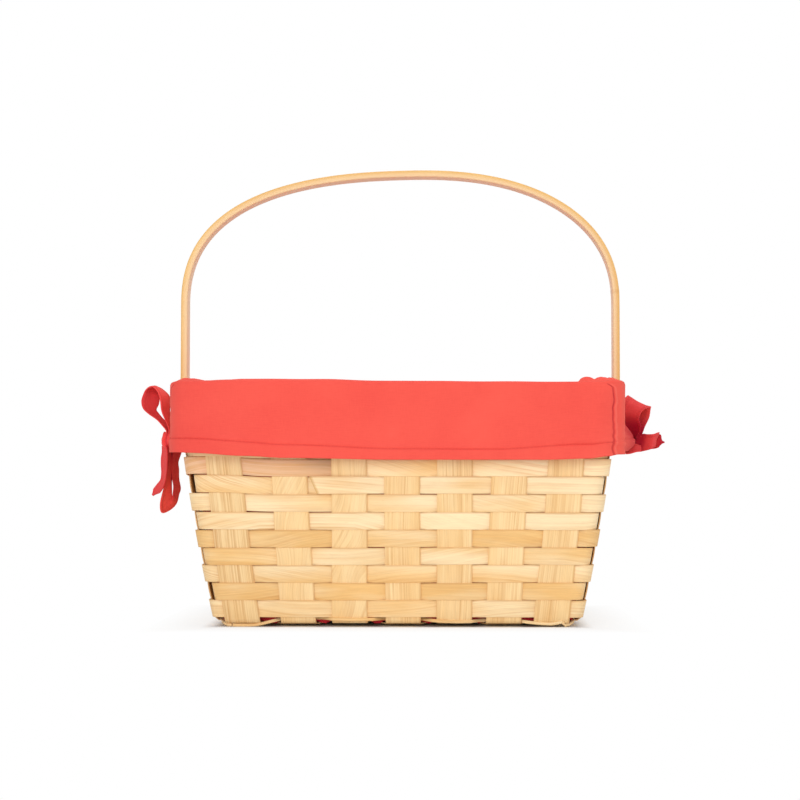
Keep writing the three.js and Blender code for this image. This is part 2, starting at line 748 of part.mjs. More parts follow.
// Ties: flat cotton tapes, knotted against the flaps' edges. Each outline is drawn from the knot:
// outwards from the flap, and up.
const knotReach = halfLength(knotHeight) + flapOffset(knotHeight, 0) + CLOTH_THICKNESS + GAP;
const LEFT_LOOP = [[0, -6], [0, 5], [0.5, 17], [0.8, 33], [6, 41.6], [15, 40.5], [22.5, 34],
  [24.2, 30], [21, 20], [13, 12], [7.5, 4], [7, -5.5]];
const LEFT_LOOP_HOLE = { out: 9, up: 22.5, halfOut: 3, halfUp: 6.5 };
const LEFT_TAILS = [[0, 6], [0, -17], [-4.6, -22], [-6.8, -35], [1.5, -46.6], [7.6, -54.2],
  [8.4, -45], [14.4, -39.7], [9.9, -30.6], [7.6, -21.5], [7, 6]];
const LEFT_TAILS_HOLE = { out: -0.9, up: -33, halfOut: 1.4, halfUp: 5.5 };
const RIGHT_LOOP = [[0, -6], [0, 6], [-3, 14], [-3.6, 26], [-1.5, 35.5], [7, 34.5], [16, 28],
  [14.5, 17], [10, 7], [8, -5]];
const RIGHT_TAIL = [[0, 6], [5.3, 6.6], [14, 8.4], [22.8, 7.4], [24.2, 1], [20.5, -4.8],
  [7.6, -8.6], [0, -9.5]];

function tieGeometry(outline, hole, side, frontHalf) {
  const place = ([out, up]) => new THREE.Vector2(side * (knotReach + out), knotHeight + up);
  const edge = outline.map(place);
  const shape = new THREE.Shape(edge);
  if (hole) {
    const centre = place([hole.out, hole.up]);
    const turning = Math.sign(THREE.ShapeUtils.area(edge));
    const points = Array.from({ length: TIE_OPENING_SIDES }, (_, i) => {
      const angle = (-2 * Math.PI * turning * i) / TIE_OPENING_SIDES;
      return new THREE.Vector2(Math.cos(angle) * hole.halfOut, Math.sin(angle) * hole.halfUp);
    });
    shape.holes.push(new THREE.Path(points.map((point) => point.add(centre))));
  }
  const away = (frontHalf ? -1 : 1) * (TIE_WIDTH / 2 + GAP);
  return standAlong(extrudeCentred(shape, TIE_WIDTH)).translate(0, away, 0);
}
addPiece('left_front_tie', tieGeometry(LEFT_LOOP, LEFT_LOOP_HOLE, -1, true), CLOTH);
addPiece('left_back_tie', tieGeometry(LEFT_TAILS, LEFT_TAILS_HOLE, -1, false), CLOTH);
addPiece('right_front_tie', tieGeometry(RIGHT_LOOP, null, 1, true), CLOTH);
addPiece('right_back_tie', tieGeometry(RIGHT_TAIL, null, 1, false), CLOTH);

export default basket;
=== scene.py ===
import math
import bmesh
import bpy
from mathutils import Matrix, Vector, noise


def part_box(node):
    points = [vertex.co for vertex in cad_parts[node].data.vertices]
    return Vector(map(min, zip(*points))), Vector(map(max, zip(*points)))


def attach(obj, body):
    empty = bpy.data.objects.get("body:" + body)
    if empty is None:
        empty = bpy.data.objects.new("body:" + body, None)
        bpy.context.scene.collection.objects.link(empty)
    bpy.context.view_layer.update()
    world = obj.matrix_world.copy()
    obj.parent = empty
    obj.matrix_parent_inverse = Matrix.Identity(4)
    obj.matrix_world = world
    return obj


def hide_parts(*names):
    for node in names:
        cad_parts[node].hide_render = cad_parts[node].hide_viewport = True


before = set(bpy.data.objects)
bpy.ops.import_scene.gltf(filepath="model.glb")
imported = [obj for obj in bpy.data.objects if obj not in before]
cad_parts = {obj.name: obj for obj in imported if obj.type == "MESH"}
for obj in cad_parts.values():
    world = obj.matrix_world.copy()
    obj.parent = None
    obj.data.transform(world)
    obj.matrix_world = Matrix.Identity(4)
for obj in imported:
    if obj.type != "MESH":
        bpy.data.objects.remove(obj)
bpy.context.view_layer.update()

# Camera. It stands in front of the basket and a little to its right, just above the middle of its
# wall. It looks slightly up, and its long lens shows the whole handle.
MM = 0.001
IMAGE_WIDTH = 800
FOCAL_PIXELS = 1900
SENSOR = 36.0
CAMERA_PLACE = (28 * MM, -1.444, 0.1039)
CAMERA_TILT = 2.41
camera_data = bpy.data.cameras.new("camera")
camera_data.sensor_width = SENSOR
camera_data.lens = FOCAL_PIXELS / IMAGE_WIDTH * SENSOR
camera_data.clip_end = 50
camera = bpy.data.objects.new("camera", camera_data)
camera.location = CAMERA_PLACE
towards_basket = math.atan2(camera.location.x, -camera.location.y)
camera.rotation_euler = (math.radians(90 + CAMERA_TILT), 0, towards_basket)
bpy.context.scene.collection.objects.link(camera)
bpy.context.scene.camera = camera

# Cross stakes. Seven strips of pale wood splint, 25 mm wide, that run up the front wall, flat
# across the base and up the back wall. They are cut from the log with the grain, and bent damp.
BASE_HALF_LENGTH = 129 * MM
RIM_HALF_LENGTH = 156.4 * MM
BASE_HALF_DEPTH = 95 * MM
RIM_HALF_DEPTH = 120 * MM
RIM_HEIGHT = 171 * MM
WALL_BELLY = 2.4 * MM
STAKE_WIDTH = 25 * MM
STAKE_THICKNESS = 0.9 * MM
STAKE_STEPS, STAKE_ROWS = 190, 4
STAKE_TOP = RIM_HEIGHT - 0.5 * MM
STAKE_BEND = 3 * MM
STAKE_WAVE = 0.3 * MM
STAKE_WANDER = 0.25 * MM
# How much a stake's middle stands out from its edges, and from what height.
STAKE_CUP = 0.25 * MM
CUPPED_FROM = 10 * MM
SPLINT_EDGE = 0.12 * MM
BASE_LEVEL = 2.9 * MM
WEAVER_START = 6.8 * MM
WEAVER_PITCH = 12.433 * MM
WEAVE_TOP = 156 * MM
BEND_STEPS, WALL_STEPS = 6, 60
# For each stake: its place as a share of the base's half length or half depth, its lean as a share
# of the walls' widening, its figure from straight grain to arches, its tone, and how plain it is.
STAKES = {
    "cross": [(-0.845, -0.6, 0.0, -0.06, -0.35), (-0.54, -0.28, 0.55, -0.01, 0.35),
              (-0.26, 0.0, 0.6, -0.02, 0.35), (0.033, -0.03, 0.05, 0.0, 0.1),
              (0.312, 0.02, 0.0, -0.01, 0.2), (0.58, 0.19, 0.08, 0.01, 0.2),
              (0.84, 0.49, 0.0, 0.0, 0.1)],
}


def wall_size(base, rim, z):
    """How far a wall stands out at a height: more towards the rim, with a slight belly."""
    share = z / RIM_HEIGHT
    return base + (rim - base) * share + 4 * WALL_BELLY * share * (1 - share)


def half_length(z):
    return wall_size(BASE_HALF_LENGTH, RIM_HALF_LENGTH, z)


def half_depth(z):
    return wall_size(BASE_HALF_DEPTH, RIM_HALF_DEPTH, z)


def stake_place(crossing, index, z):
    """Middle of a stake along its wall. The outer stakes fan out as the walls widen."""
    place, lean = STAKES[crossing][index][:2]
    span = half_length if crossing == "cross" else half_depth
    return place * span(0) + lean * (span(max(z, 0)) - span(0))


def row_middle(row):
    return WEAVER_START + (row - 0.5) * WEAVER_PITCH


def row_outside(crossing, index, row):
    """Whether a row of the weave passes outside a stake."""
    return (index + row) % 2 == (0 if crossing == "cross" else 1)


def wander(*where):
    """Slow, seeded unevenness from -1 to 1."""
    return 1.6 * noise.noise(Vector(where + (0.37,) * (3 - len(where))))


def lengths_along(points):
    """The distances from the start of a polyline to each of its points."""
    lengths = [0.0]
    for a, b in zip(points, points[1:]):
        lengths.append(lengths[-1] + (b - a).length)
    return lengths


def stretch_at(lengths, distance):
    """The stretch of a polyline that a distance falls in, and the share of it that lies before."""
    i = 0
    while i < len(lengths) - 2 and lengths[i + 1] < distance:
        i += 1
    return i, (distance - lengths[i]) / max(lengths[i + 1] - lengths[i], 1e-9)


def along_line(points):
    """A function from a distance along a polyline to the point and the direction there."""
    lengths = lengths_along(points)
    around = zip([points[0]] + points[:-1], points[1:] + [points[-1]])
    tangents = [(after - before).normalized() for before, after in around]

    def at(distance):
        i, share = stretch_at(lengths, min(max(distance, 0), lengths[-1]))
        direction = tangents[i].lerp(tangents[i + 1], share)
        return points[i].lerp(points[i + 1], share), direction.normalized()

    return at, lengths[-1]


def mesh_object(name, bm):
    mesh = bpy.data.meshes.new(name)
    bm.to_mesh(mesh)
    bm.free()
    mesh.set_sharp_from_angle(angle=math.radians(50))
    made = bpy.data.objects.new(name, mesh)
    bpy.context.scene.collection.objects.link(made)
    return made


def flat_strip(name, size, steps, rows, edge, bend, looks):
    """A flat strip with eased long edges, its UV map in metres, bent to shape by bend(u, v, w).
    size is its length, width and thickness. looks holds its attributes, each a value or a
    function of u, v and w."""
    length, width, thickness = size
    bm = bmesh.new()
    bmesh.ops.create_grid(bm, x_segments=steps, y_segments=rows, size=0.5)
    bmesh.ops.scale(bm, vec=(length, width, 1), verts=bm.verts)
    bmesh.ops.translate(bm, vec=(length / 2, 0, 0), verts=bm.verts)
    bmesh.ops.solidify(bm, geom=bm.faces[:], thickness=thickness)
    middle = sum(v.co.z for v in bm.verts) / len(bm.verts)
    bmesh.ops.translate(bm, vec=(0, 0, -middle), verts=bm.verts)
    long_edges = [
        e for e in bm.edges
        if all(abs(abs(v.co.y) - width / 2) < 1e-7 for v in e.verts)
        and abs(e.verts[0].co.z - e.verts[1].co.z) < 1e-7
    ]
    bmesh.ops.bevel(bm, geom=long_edges, offset=edge, affect="EDGES", segments=2, profile=0.5,
                    material=-1)
    layer = bm.loops.layers.uv.new("along")
    layers = {key: bm.verts.layers.float.new(key) for key in looks}
    for face in bm.faces:
        face.smooth = True
        for loop in face.loops:
            loop[layer].uv = (loop.vert.co.x, loop.vert.co.y + loop.vert.co.z)
    for vert in bm.verts:
        for key, value in looks.items():
            vert[layers[key]] = value(*vert.co) if callable(value) else value
        vert.co = bend(*vert.co)
    bmesh.ops.recalc_face_normals(bm, faces=bm.faces)
    return mesh_object(name, bm)


def dress(piece, material, body, slot, *nodes):
    """Gives a piece its material and its body, and hides the nodes that it stands for. slot is not
    used.
    """
    piece.data.materials.append(material)
    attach(piece, body)
    if nodes:
        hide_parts(*nodes)


class Wire:
    """An output of a node. Sums, differences and products of wires are maths nodes."""

    def __init__(self, socket):
        self.socket = socket

    def __add__(self, other):
        return maths("ADD", self, other)

    def __sub__(self, other):
        return maths("SUBTRACT", self, other)

    def __rsub__(self, other):
        return maths("SUBTRACT", other, self)

    def __mul__(self, other):
        return maths("MULTIPLY", self, other)

    def __abs__(self):
        return maths("ABSOLUTE", self)


class Wires:
    """The outputs of a node, by name or in turn."""

    def __init__(self, node):
        self.outputs = node.outputs

    def __getitem__(self, key):
        return Wire(self.outputs[key])


def plug(node, **values):
    """Fills a node's inputs, by name or as i0, i1 and so on, each with a value or a wire."""
    for key, value in values.items():
        numbered = key[0] == "i" and key[1:].isdigit()
        spot = node.inputs[int(key[1:]) if numbered else key.replace("_", " ")]
        if isinstance(value, Wire):
            node.id_data.links.new(value.socket, spot)
        else:
            spot.default_value = value


def add(tree, kind, settings=None, **values):
    """Adds a node to a tree, with its settings and inputs, and gives its wires."""
    node = tree.nodes.new("ShaderNode" + kind)
    for key, value in (settings or {}).items():
        setattr(node, key, value)
    plug(node, **values)
    return Wires(node)


def tree_of(*values):
    """The tree that the wires among some values belong to."""
    return next(value.socket.id_data for value in values if isinstance(value, Wire))


def maths(operation, *values):
    inputs = {f"i{number}": value for number, value in enumerate(values)}
    return add(tree_of(*values), "Math", {"operation": operation}, **inputs)[0]


def blend_colours(share, a, b, mode="MIX"):
    settings = {"data_type": "RGBA", "blend_type": mode}
    return add(tree_of(share, a, b), "Mix", settings, i0=share, i6=a, i7=b)[2]


def noise_value(vector, scale, detail, roughness):
    return add(tree_of(vector), "TexNoise", Vector=vector, Scale=scale, Detail=detail,
               Roughness=roughness)["Fac"]


def spread(value, low, high, to_low=0.0, to_high=1.0):
    """Turns the stretch from low to high into the stretch from to_low to to_high."""
    return add(tree_of(value), "MapRange", i0=value, i1=low, i2=high, i3=to_low, i4=to_high)[0]


def colour(red, green, blue):
    """A colour from its 0 to 255 values."""
    parts = [v / 255 for v in (red, green, blue)]
    return tuple(v / 12.92 if v <= 0.04045 else ((v + 0.055) / 1.055) ** 2.4 for v in parts) + (1,)


def shader_group(name, inputs, outputs):
    """A group from its inputs' first values, None for a vector, and the names of its outputs: its
    tree, the wires of its inputs, and the node that its results are plugged into."""
    tree = bpy.data.node_groups.new(name, "ShaderNodeTree")
    kinds = {type(None): "Vector", float: "Float", tuple: "Color"}
    for key, value in inputs.items():
        socket_type = "NodeSocket" + kinds[type(value)]
        socket = tree.interface.new_socket(key, in_out="INPUT", socket_type=socket_type)
        if value is not None:
            socket.default_value = value
    for key in outputs:
        socket_type = "NodeSocketColor" if key == "Color" else "NodeSocketFloat"
        tree.interface.new_socket(key, in_out="OUTPUT", socket_type=socket_type)
    return tree, Wires(tree.nodes.new("NodeGroupInput")), tree.nodes.new("NodeGroupOutput")


WHITE, BLACK = (1, 1, 1, 1), (0, 0, 0, 1)


def wood_grain():
    """Growth lines along a strip: straight where Figure is 0, and drawn out in long arches and
    loops towards 1. Along holds the strip's length in x and its width in y, in metres."""
    tree, given, out = shader_group(
        "wood grain",
        {"Along": None, "Seed": 0.0, "Figure": 0.5, "Lines": 500.0, "Strength": 0.6, "Tone": 0.0,
         "Gold": 0.0, "Blush": 0.0, "Pores": 0.2, "Half": 1.0, "Fibres": 1.0, "Pale": WHITE,
         "Line": BLACK, "Warm": BLACK, "Heart": BLACK},
        ["Color", "Height", "Roughness"])
    x, y, _ = add(tree, "SeparateXYZ", Vector=given["Along"])
    seed = given["Seed"] * 7.31

    def streaks(along, across, shift, detail, roughness):
        """Noise with so many waves to the metre along the strip and across it."""
        place = add(tree, "CombineXYZ", X=x * along, Y=y * across, Z=seed + shift)[0]
        return noise_value(place, 1.0, detail, roughness)

    arches = (streaks(15, 24, 0.0, 1.0, 0.4) - 0.5) * 0.05
    sway = (streaks(7, 5, 3.0, 1.0, 0.4) - 0.5) * 0.012
    figured = y * 0.55 + x * 0.32 + arches
    across = add(tree, "Mix", {"data_type": "FLOAT"}, i0=given["Figure"], i2=y + sway, i3=figured)[0]
    ring = add(tree, "CombineXYZ", X=across * given["Lines"], Y=x * 4.0, Z=seed + 9.0)[0]
    patches = spread(streaks(22, 120, 13.0, 2.0, 0.5), 0.36, 0.62, 0.3, 1.0)
    drawn = spread(noise_value(ring, 1.0, 3.0, 0.6), 0.38, 0.72) * patches
    fibres = streaks(90, 2600, 5.0, 3.0, 0.65)
    pores = spread(streaks(300, 3600, 11.0, 1.0, 0.5), 0.66, 0.74)
    warmth = spread(streaks(13, 60, 7.0, 2.0, 0.5), 0.36, 0.68, 0.0, 0.8) + given["Gold"]
    body = blend_colours(warmth, given["Pale"], given["Warm"])
    body = blend_colours(given["Blush"], body, given["Heart"])
    sunk = pores * given["Pores"]
    lined = blend_colours(maths("MAXIMUM", drawn * given["Strength"], sunk), body, given["Line"])
    # Painted warm shade along the cut edges, where the strips meet and shade falls between them.
    cut_edge_shade = spread(given["Half"] - abs(y), 0.1 * MM, 0.9 * MM, 0.45, 0.0)
    lined = blend_colours(cut_edge_shade, lined, colour(206, 150, 88))
    toned = (fibres - 0.5) * (given["Fibres"] * 0.28) + 1.0 + given["Tone"]
    shade = add(tree, "CombineColor", i0=toned, i1=toned, i2=toned)[0]
    plug(out, Color=blend_colours(1.0, lined, shade, "MULTIPLY"),
         Height=drawn * -0.5 + fibres - sunk * 3.0, Roughness=spread(fibres, 0.3, 0.7, 0.5, 0.66))
    return tree


def new_material(name):
    """A material, its node tree and its shader."""
    material = bpy.data.materials.new(name)
    material.use_nodes = True
    return material, material.node_tree, material.node_tree.nodes["Principled BSDF"]


def attribute(tree, name):
    return add(tree, "Attribute", {"attribute_name": name})["Fac"]


def strip_map(tree):
    return add(tree, "UVMap", {"uv_map": "along"})[0]


WOOD_GRAIN = wood_grain()


def wood_material(name, pale, warm, line, lines, strength, bump, half=1.0, figure=None):
    """Splint wood. half is half of the strip's width, because painted warm shade lines its cut edges,
    where the strips meet. A strip has its seed, tone and the like in its mesh, and its figure too,
    unless one is given: then the grain runs along the object's own X."""
    material, tree, shader = new_material(name)
    read = {key: attribute(tree, key) for key in ("seed", "tone", "blush", "gold", "plainness")}
    place = strip_map(tree) if figure is None else add(tree, "TexCoord")["Object"]
    grain = add(tree, "Group", {"node_tree": WOOD_GRAIN}, Along=place, Seed=read["seed"],
                Figure=attribute(tree, "figure") if figure is None else figure, Lines=lines,
                Strength=(1.0 - read["plainness"]) * strength, Tone=read["tone"], Gold=read["gold"],
                Blush=read["blush"], Half=half, Pale=pale, Line=line, Warm=warm,
                Heart=colour(229, 182, 142))
    bumped = add(tree, "Bump", Strength=0.35, Distance=bump, Height=grain["Height"])[0]
    plug(shader, Base_Color=grain["Color"], Roughness=grain["Roughness"], Normal=bumped,
         Specular_IOR_Level=0.35)
    return material


STAKE_WOOD = wood_material(
    "stake wood", pale=colour(253, 222, 168), warm=colour(244, 203, 140), line=colour(211, 154, 88),
    lines=1250.0, strength=0.8, bump=0.15 * MM, half=STAKE_WIDTH / 2)


def stake_line(reach, level):
    """One end of a stake, seen edge on: from its bend to the rim, as (distance out, z)."""
    corner = Vector((reach(level), level))
    before = Vector((reach(level) - STAKE_BEND, level))
    after = Vector((reach(level + STAKE_BEND), level + STAKE_BEND))
    points = []
    for i in range(BEND_STEPS + 1):
        share = i / BEND_STEPS
        points.append(before.lerp(corner, share).lerp(corner.lerp(after, share), share))
    for i in range(1, WALL_STEPS + 1):
        z = after.y + (STAKE_TOP - after.y) * i / WALL_STEPS
        points.append(Vector((reach(z), z)))
    return points


def make_stake(crossing, index, level, base):
    """Bends one strip in and out of the weave, and gives it its lean. level is its height at its
    two bends, and base holds the points of its line between them."""
    end = stake_line(half_depth if crossing == "cross" else half_length, level)
    at, length = along_line([Vector((-p.x, p.y)) for p in reversed(end)] + base + end)
    figure, tone, plainness = STAKES[crossing][index][2:]
    name = f"{crossing}_stake_{index + 1}"
    seed = index * 1.7 + (0 if crossing == "cross" else 31.3)

    def bend(u, v, w):
        point, direction = at(u)
        row = int((point.y - WEAVER_START) // WEAVER_PITCH) + 1
        sway = 0.0
        if row >= 1 and point.y < WEAVE_TOP:
            phase = (point.y - row_middle(row)) / WEAVER_PITCH
            side = -1 if row_outside(crossing, index, row) else 1
            sway = side * STAKE_WAVE * math.cos(math.pi * phase)
        cup = STAKE_CUP * (1 - (2 * v / STAKE_WIDTH) ** 2) if point.y > CUPPED_FROM else 0
        point = point + Vector((direction.y, -direction.x)) * (w + sway + cup)
        place = stake_place(crossing, index, point.y) + v * (1 + 0.012 * wander(u * 30, seed, v * 40))
        place += STAKE_WANDER * wander(u * 22, seed + 5)
        return Vector((place, *point) if crossing == "cross" else (point.x, place, point.y))

    strip = flat_strip(
        name + "_splint", (length, STAKE_WIDTH, STAKE_THICKNESS), STAKE_STEPS, STAKE_ROWS, SPLINT_EDGE,
        bend, {"seed": seed, "tone": tone, "figure": figure, "plainness": plainness})
    dress(strip, STAKE_WOOD, "basket", "stake_wood", name)


for number in range(len(STAKES["cross"])):
    make_stake("cross", number, BASE_LEVEL, [])

# Length stakes. Five more strips of the same splint along the basket. They go up both ends, and
# on the base they are woven over and under the cross stakes.
BASE_LAYER = 1.3 * MM
# How far to either side of a cross stake's middle a length stake keeps its level.
LEVEL_HALF = STAKE_WIDTH / 2 + 0.3 * MM
STAKES["length"] = [(-0.745, -0.41, 0.1, 0.0, 0.2), (-0.375, -0.05, 0.6, -0.02, 0.4),
                    (0, 0.0, 0.0, 0.02, 0.0), (0.375, 0.05, 0.5, -0.03, 0.4),
                    (0.745, 0.41, 0.05, 0.01, 0.2)]


def lies_above(index, cross_index):
    return (index + cross_index) % 2 == 0


for number in range(len(STAKES["length"])):
    crossings = []
    for cross_number in range(len(STAKES["cross"])):
        middle = stake_place("cross", cross_number, 0)
        level = BASE_LEVEL + (BASE_LAYER if lies_above(number, cross_number) else -BASE_LAYER)
        crossings += [Vector((middle - LEVEL_HALF, level)), Vector((middle + LEVEL_HALF, level))]
    end_level = BASE_LEVEL + (BASE_LAYER if lies_above(number, 0) else 0)
    make_stake("length", number, end_level, crossings)

# Weavers. Twelve narrow, thinner strips that go round the basket, outside one stake and inside
# the next. Each is one strip whose ends lap. Most laps are at the back, and one shows in front.
BASE_CORNER = 7 * MM
RIM_CORNER = 18 * MM
ALONG = [Vector((1, 0)), Vector((0, 1)), Vector((-1, 0)), Vector((0, -1))]
OUT = [Vector((0, -1)), Vector((1, 0)), Vector((0, 1)), Vector((-1, 0))]
WEAVER_WIDTH = 12.25 * MM
WEAVER_THICKNESS = 0.8 * MM
WEAVER_STEPS, WEAVER_ROWS = 420, 3
WEAVER_SWING = 0.7 * MM
WEAVER_BULGE = 0.15 * MM
WEAVER_WANDER = 0.28 * MM
# How much of a crossing from outside to inside is straight.
STRAIGHTNESS = 0.7
# Where a row crosses at a corner: how soon it is behind a cross stake, how far past a length
# stake it starts, and how far before the next stake it ends.
CROSS_REACH, LENGTH_START, LENGTH_SPARE = 6 * MM, 5 * MM, 3 * MM
# How deep a row is drawn in behind the stake beside a corner, deeper in two rows at the front's
# left corner, and where that ends past the stake, at the base and per corner radius gained.
CORNER_TUCK = 1.8 * MM
TIGHT_ROWS = {2: 4.4 * MM, 8: 5.2 * MM}
TUCK_ENDS = [(17 * MM, 0.7), (31 * MM, 1.4)]
# How far the upper rows climb at the front's left corner.
CORNER_RISE = 1.8 * MM
RISING_ROWS = (5, 9)
RISE_REACH = (8 * MM, 46 * MM)
BACK_LAP = 46 * MM
# The back wall's stakes lie past this share of the way round.
BACK_FROM = 0.45
FRONT_LAP = 31 * MM
FRONT_LAP_ROW = 8
FRONT_LAP_PLACE = -58.8 * MM
LAP_EASE = 9 * MM
LAP_GAP = 0.1 * MM
LAP_SLANT = 5 * MM
SLANT_REACH = 25 * MM
LAP_SPRING = 0.8 * MM
SPRING_REACH = 8 * MM
# How much painted shade darkens a weaver's cut end, where it stands off the strip below, and how
# much less golden the row is near the front lap.
CUT_END_SHADE = 0.2
LAP_PALER = 0.5
PALER_REACH = (60 * MM, 120 * MM)
WEAVER_WOOD = wood_material(
    "weaver wood", pale=colour(255, 231, 186), warm=colour(243, 198, 130), line=colour(217, 158, 88),
    lines=760.0, strength=0.85, bump=0.12 * MM, half=WEAVER_WIDTH / 2)
# For each row from the base up: its tone, and how golden it is.
ROWS = [(0.0, 0.15), (-0.02, 0.5), (0.0, 0.0), (-0.01, 0.1), (-0.03, 0.55), (0.01, -0.25),
        (0.0, -0.1), (0.01, 0.0), (0.05, -0.1), (0.0, 0.1), (0.0, 0.1), (0.0, 0.1)]
# Where a row is dark heartwood, from the left end to the third stake of the front, and where its
# streak begins and lies across it.
HEART_ROW = 9
HEART_BLUSH, STREAK_TONE = 0.85, 0.34
HEART_FROM, HEART_TO = -170 * MM, -40 * MM
HEART_EASE_IN, HEART_EASE_OUT = 30 * MM, 12 * MM
HEART_STREAK = -82 * MM
STREAK_ACROSS = (-5 * MM, 3 * MM)


def spans(wall, z):
    """How far a wall reaches from the middle along itself, and outwards."""
    return (half_length(z), half_depth(z)) if wall % 2 == 0 else (half_depth(z), half_length(z))


def corner_radius(z):
    return BASE_CORNER + (RIM_CORNER - BASE_CORNER) * z / RIM_HEIGHT


def smooth(value, low, high):
    """0 below low and 1 above high, eased between them."""
    share = min(max((value - low) / (high - low), 0), 1)
    return share * share * (3 - 2 * share)


def plateau(value, foot, top, end, far_foot):
    """1 from top to end, eased down to 0 at the foot before them and at the one after them."""
    return smooth(value, foot, top) * (1 - smooth(value, end, far_foot))


def wall_lengths(z):
    """Lengths of the four walls and the corners between them, in turn from the front wall's left."""
    lengths = []
    for wall in range(4):
        span, _ = spans(wall, z)
        lengths += [2 * (span - corner_radius(z)), math.pi / 2 * corner_radius(z)]
    return lengths


def wall_turn(distance, z):
    """Turns a distance along the wall at a height into a place from 0 to 8 round the basket."""
    lengths = wall_lengths(z)
    distance %= sum(lengths)
    for i, length in enumerate(lengths):
        if distance <= length:
            return i + distance / length
        distance -= length
    return 7.9999


def wall_point(turn, z, offset, radius=None):
    """A point of the wall: turn counts each wall and each corner as 1, starting with the front."""
    turn %= 8
    wall = int(turn) // 2
    share = turn - int(turn)
    span, reach = spans(wall, z)
    radius = corner_radius(z) if radius is None else radius
    if int(turn) % 2 == 0:
        flat = ALONG[wall] * ((2 * share - 1) * (span - radius)) + OUT[wall] * (reach + offset)
    else:
        arm = OUT[wall] * math.cos(share * math.pi / 2) + ALONG[wall] * math.sin(share * math.pi / 2)
        flat = ALONG[wall] * (span - radius) + OUT[wall] * (reach - radius) + arm * (radius + offset)
    return Vector((flat.x, flat.y, z))


def stakes_round(z):
    """Every stake that a row meets, as (distance round the wall, kind, index)."""
    found = []
    start = 0.0
    lengths = wall_lengths(z)
    for wall in range(4):
        crossing = "cross" if wall % 2 == 0 else "length"
        sign = 1 if wall < 2 else -1
        span, _ = spans(wall, z)
        for index in range(len(STAKES[crossing])):
            place = sign * stake_place(crossing, index, z)
            found.append((start + place + span - corner_radius(z), crossing, index))
        start += lengths[2 * wall] + lengths[2 * wall + 1]
    return sorted(found)


def between_stakes(stakes, distance, round_length):
    """The stakes before and after a distance, each as (distance, kind, index)."""
    after = next((i for i, s in enumerate(stakes) if s[0] > distance), 0)
    before, after = stakes[after - 1], stakes[after]
    if before[0] > distance:
        before = (before[0] - round_length,) + before[1:]
    if after[0] < distance:
        after = (after[0] + round_length,) + after[1:]
    return before, after


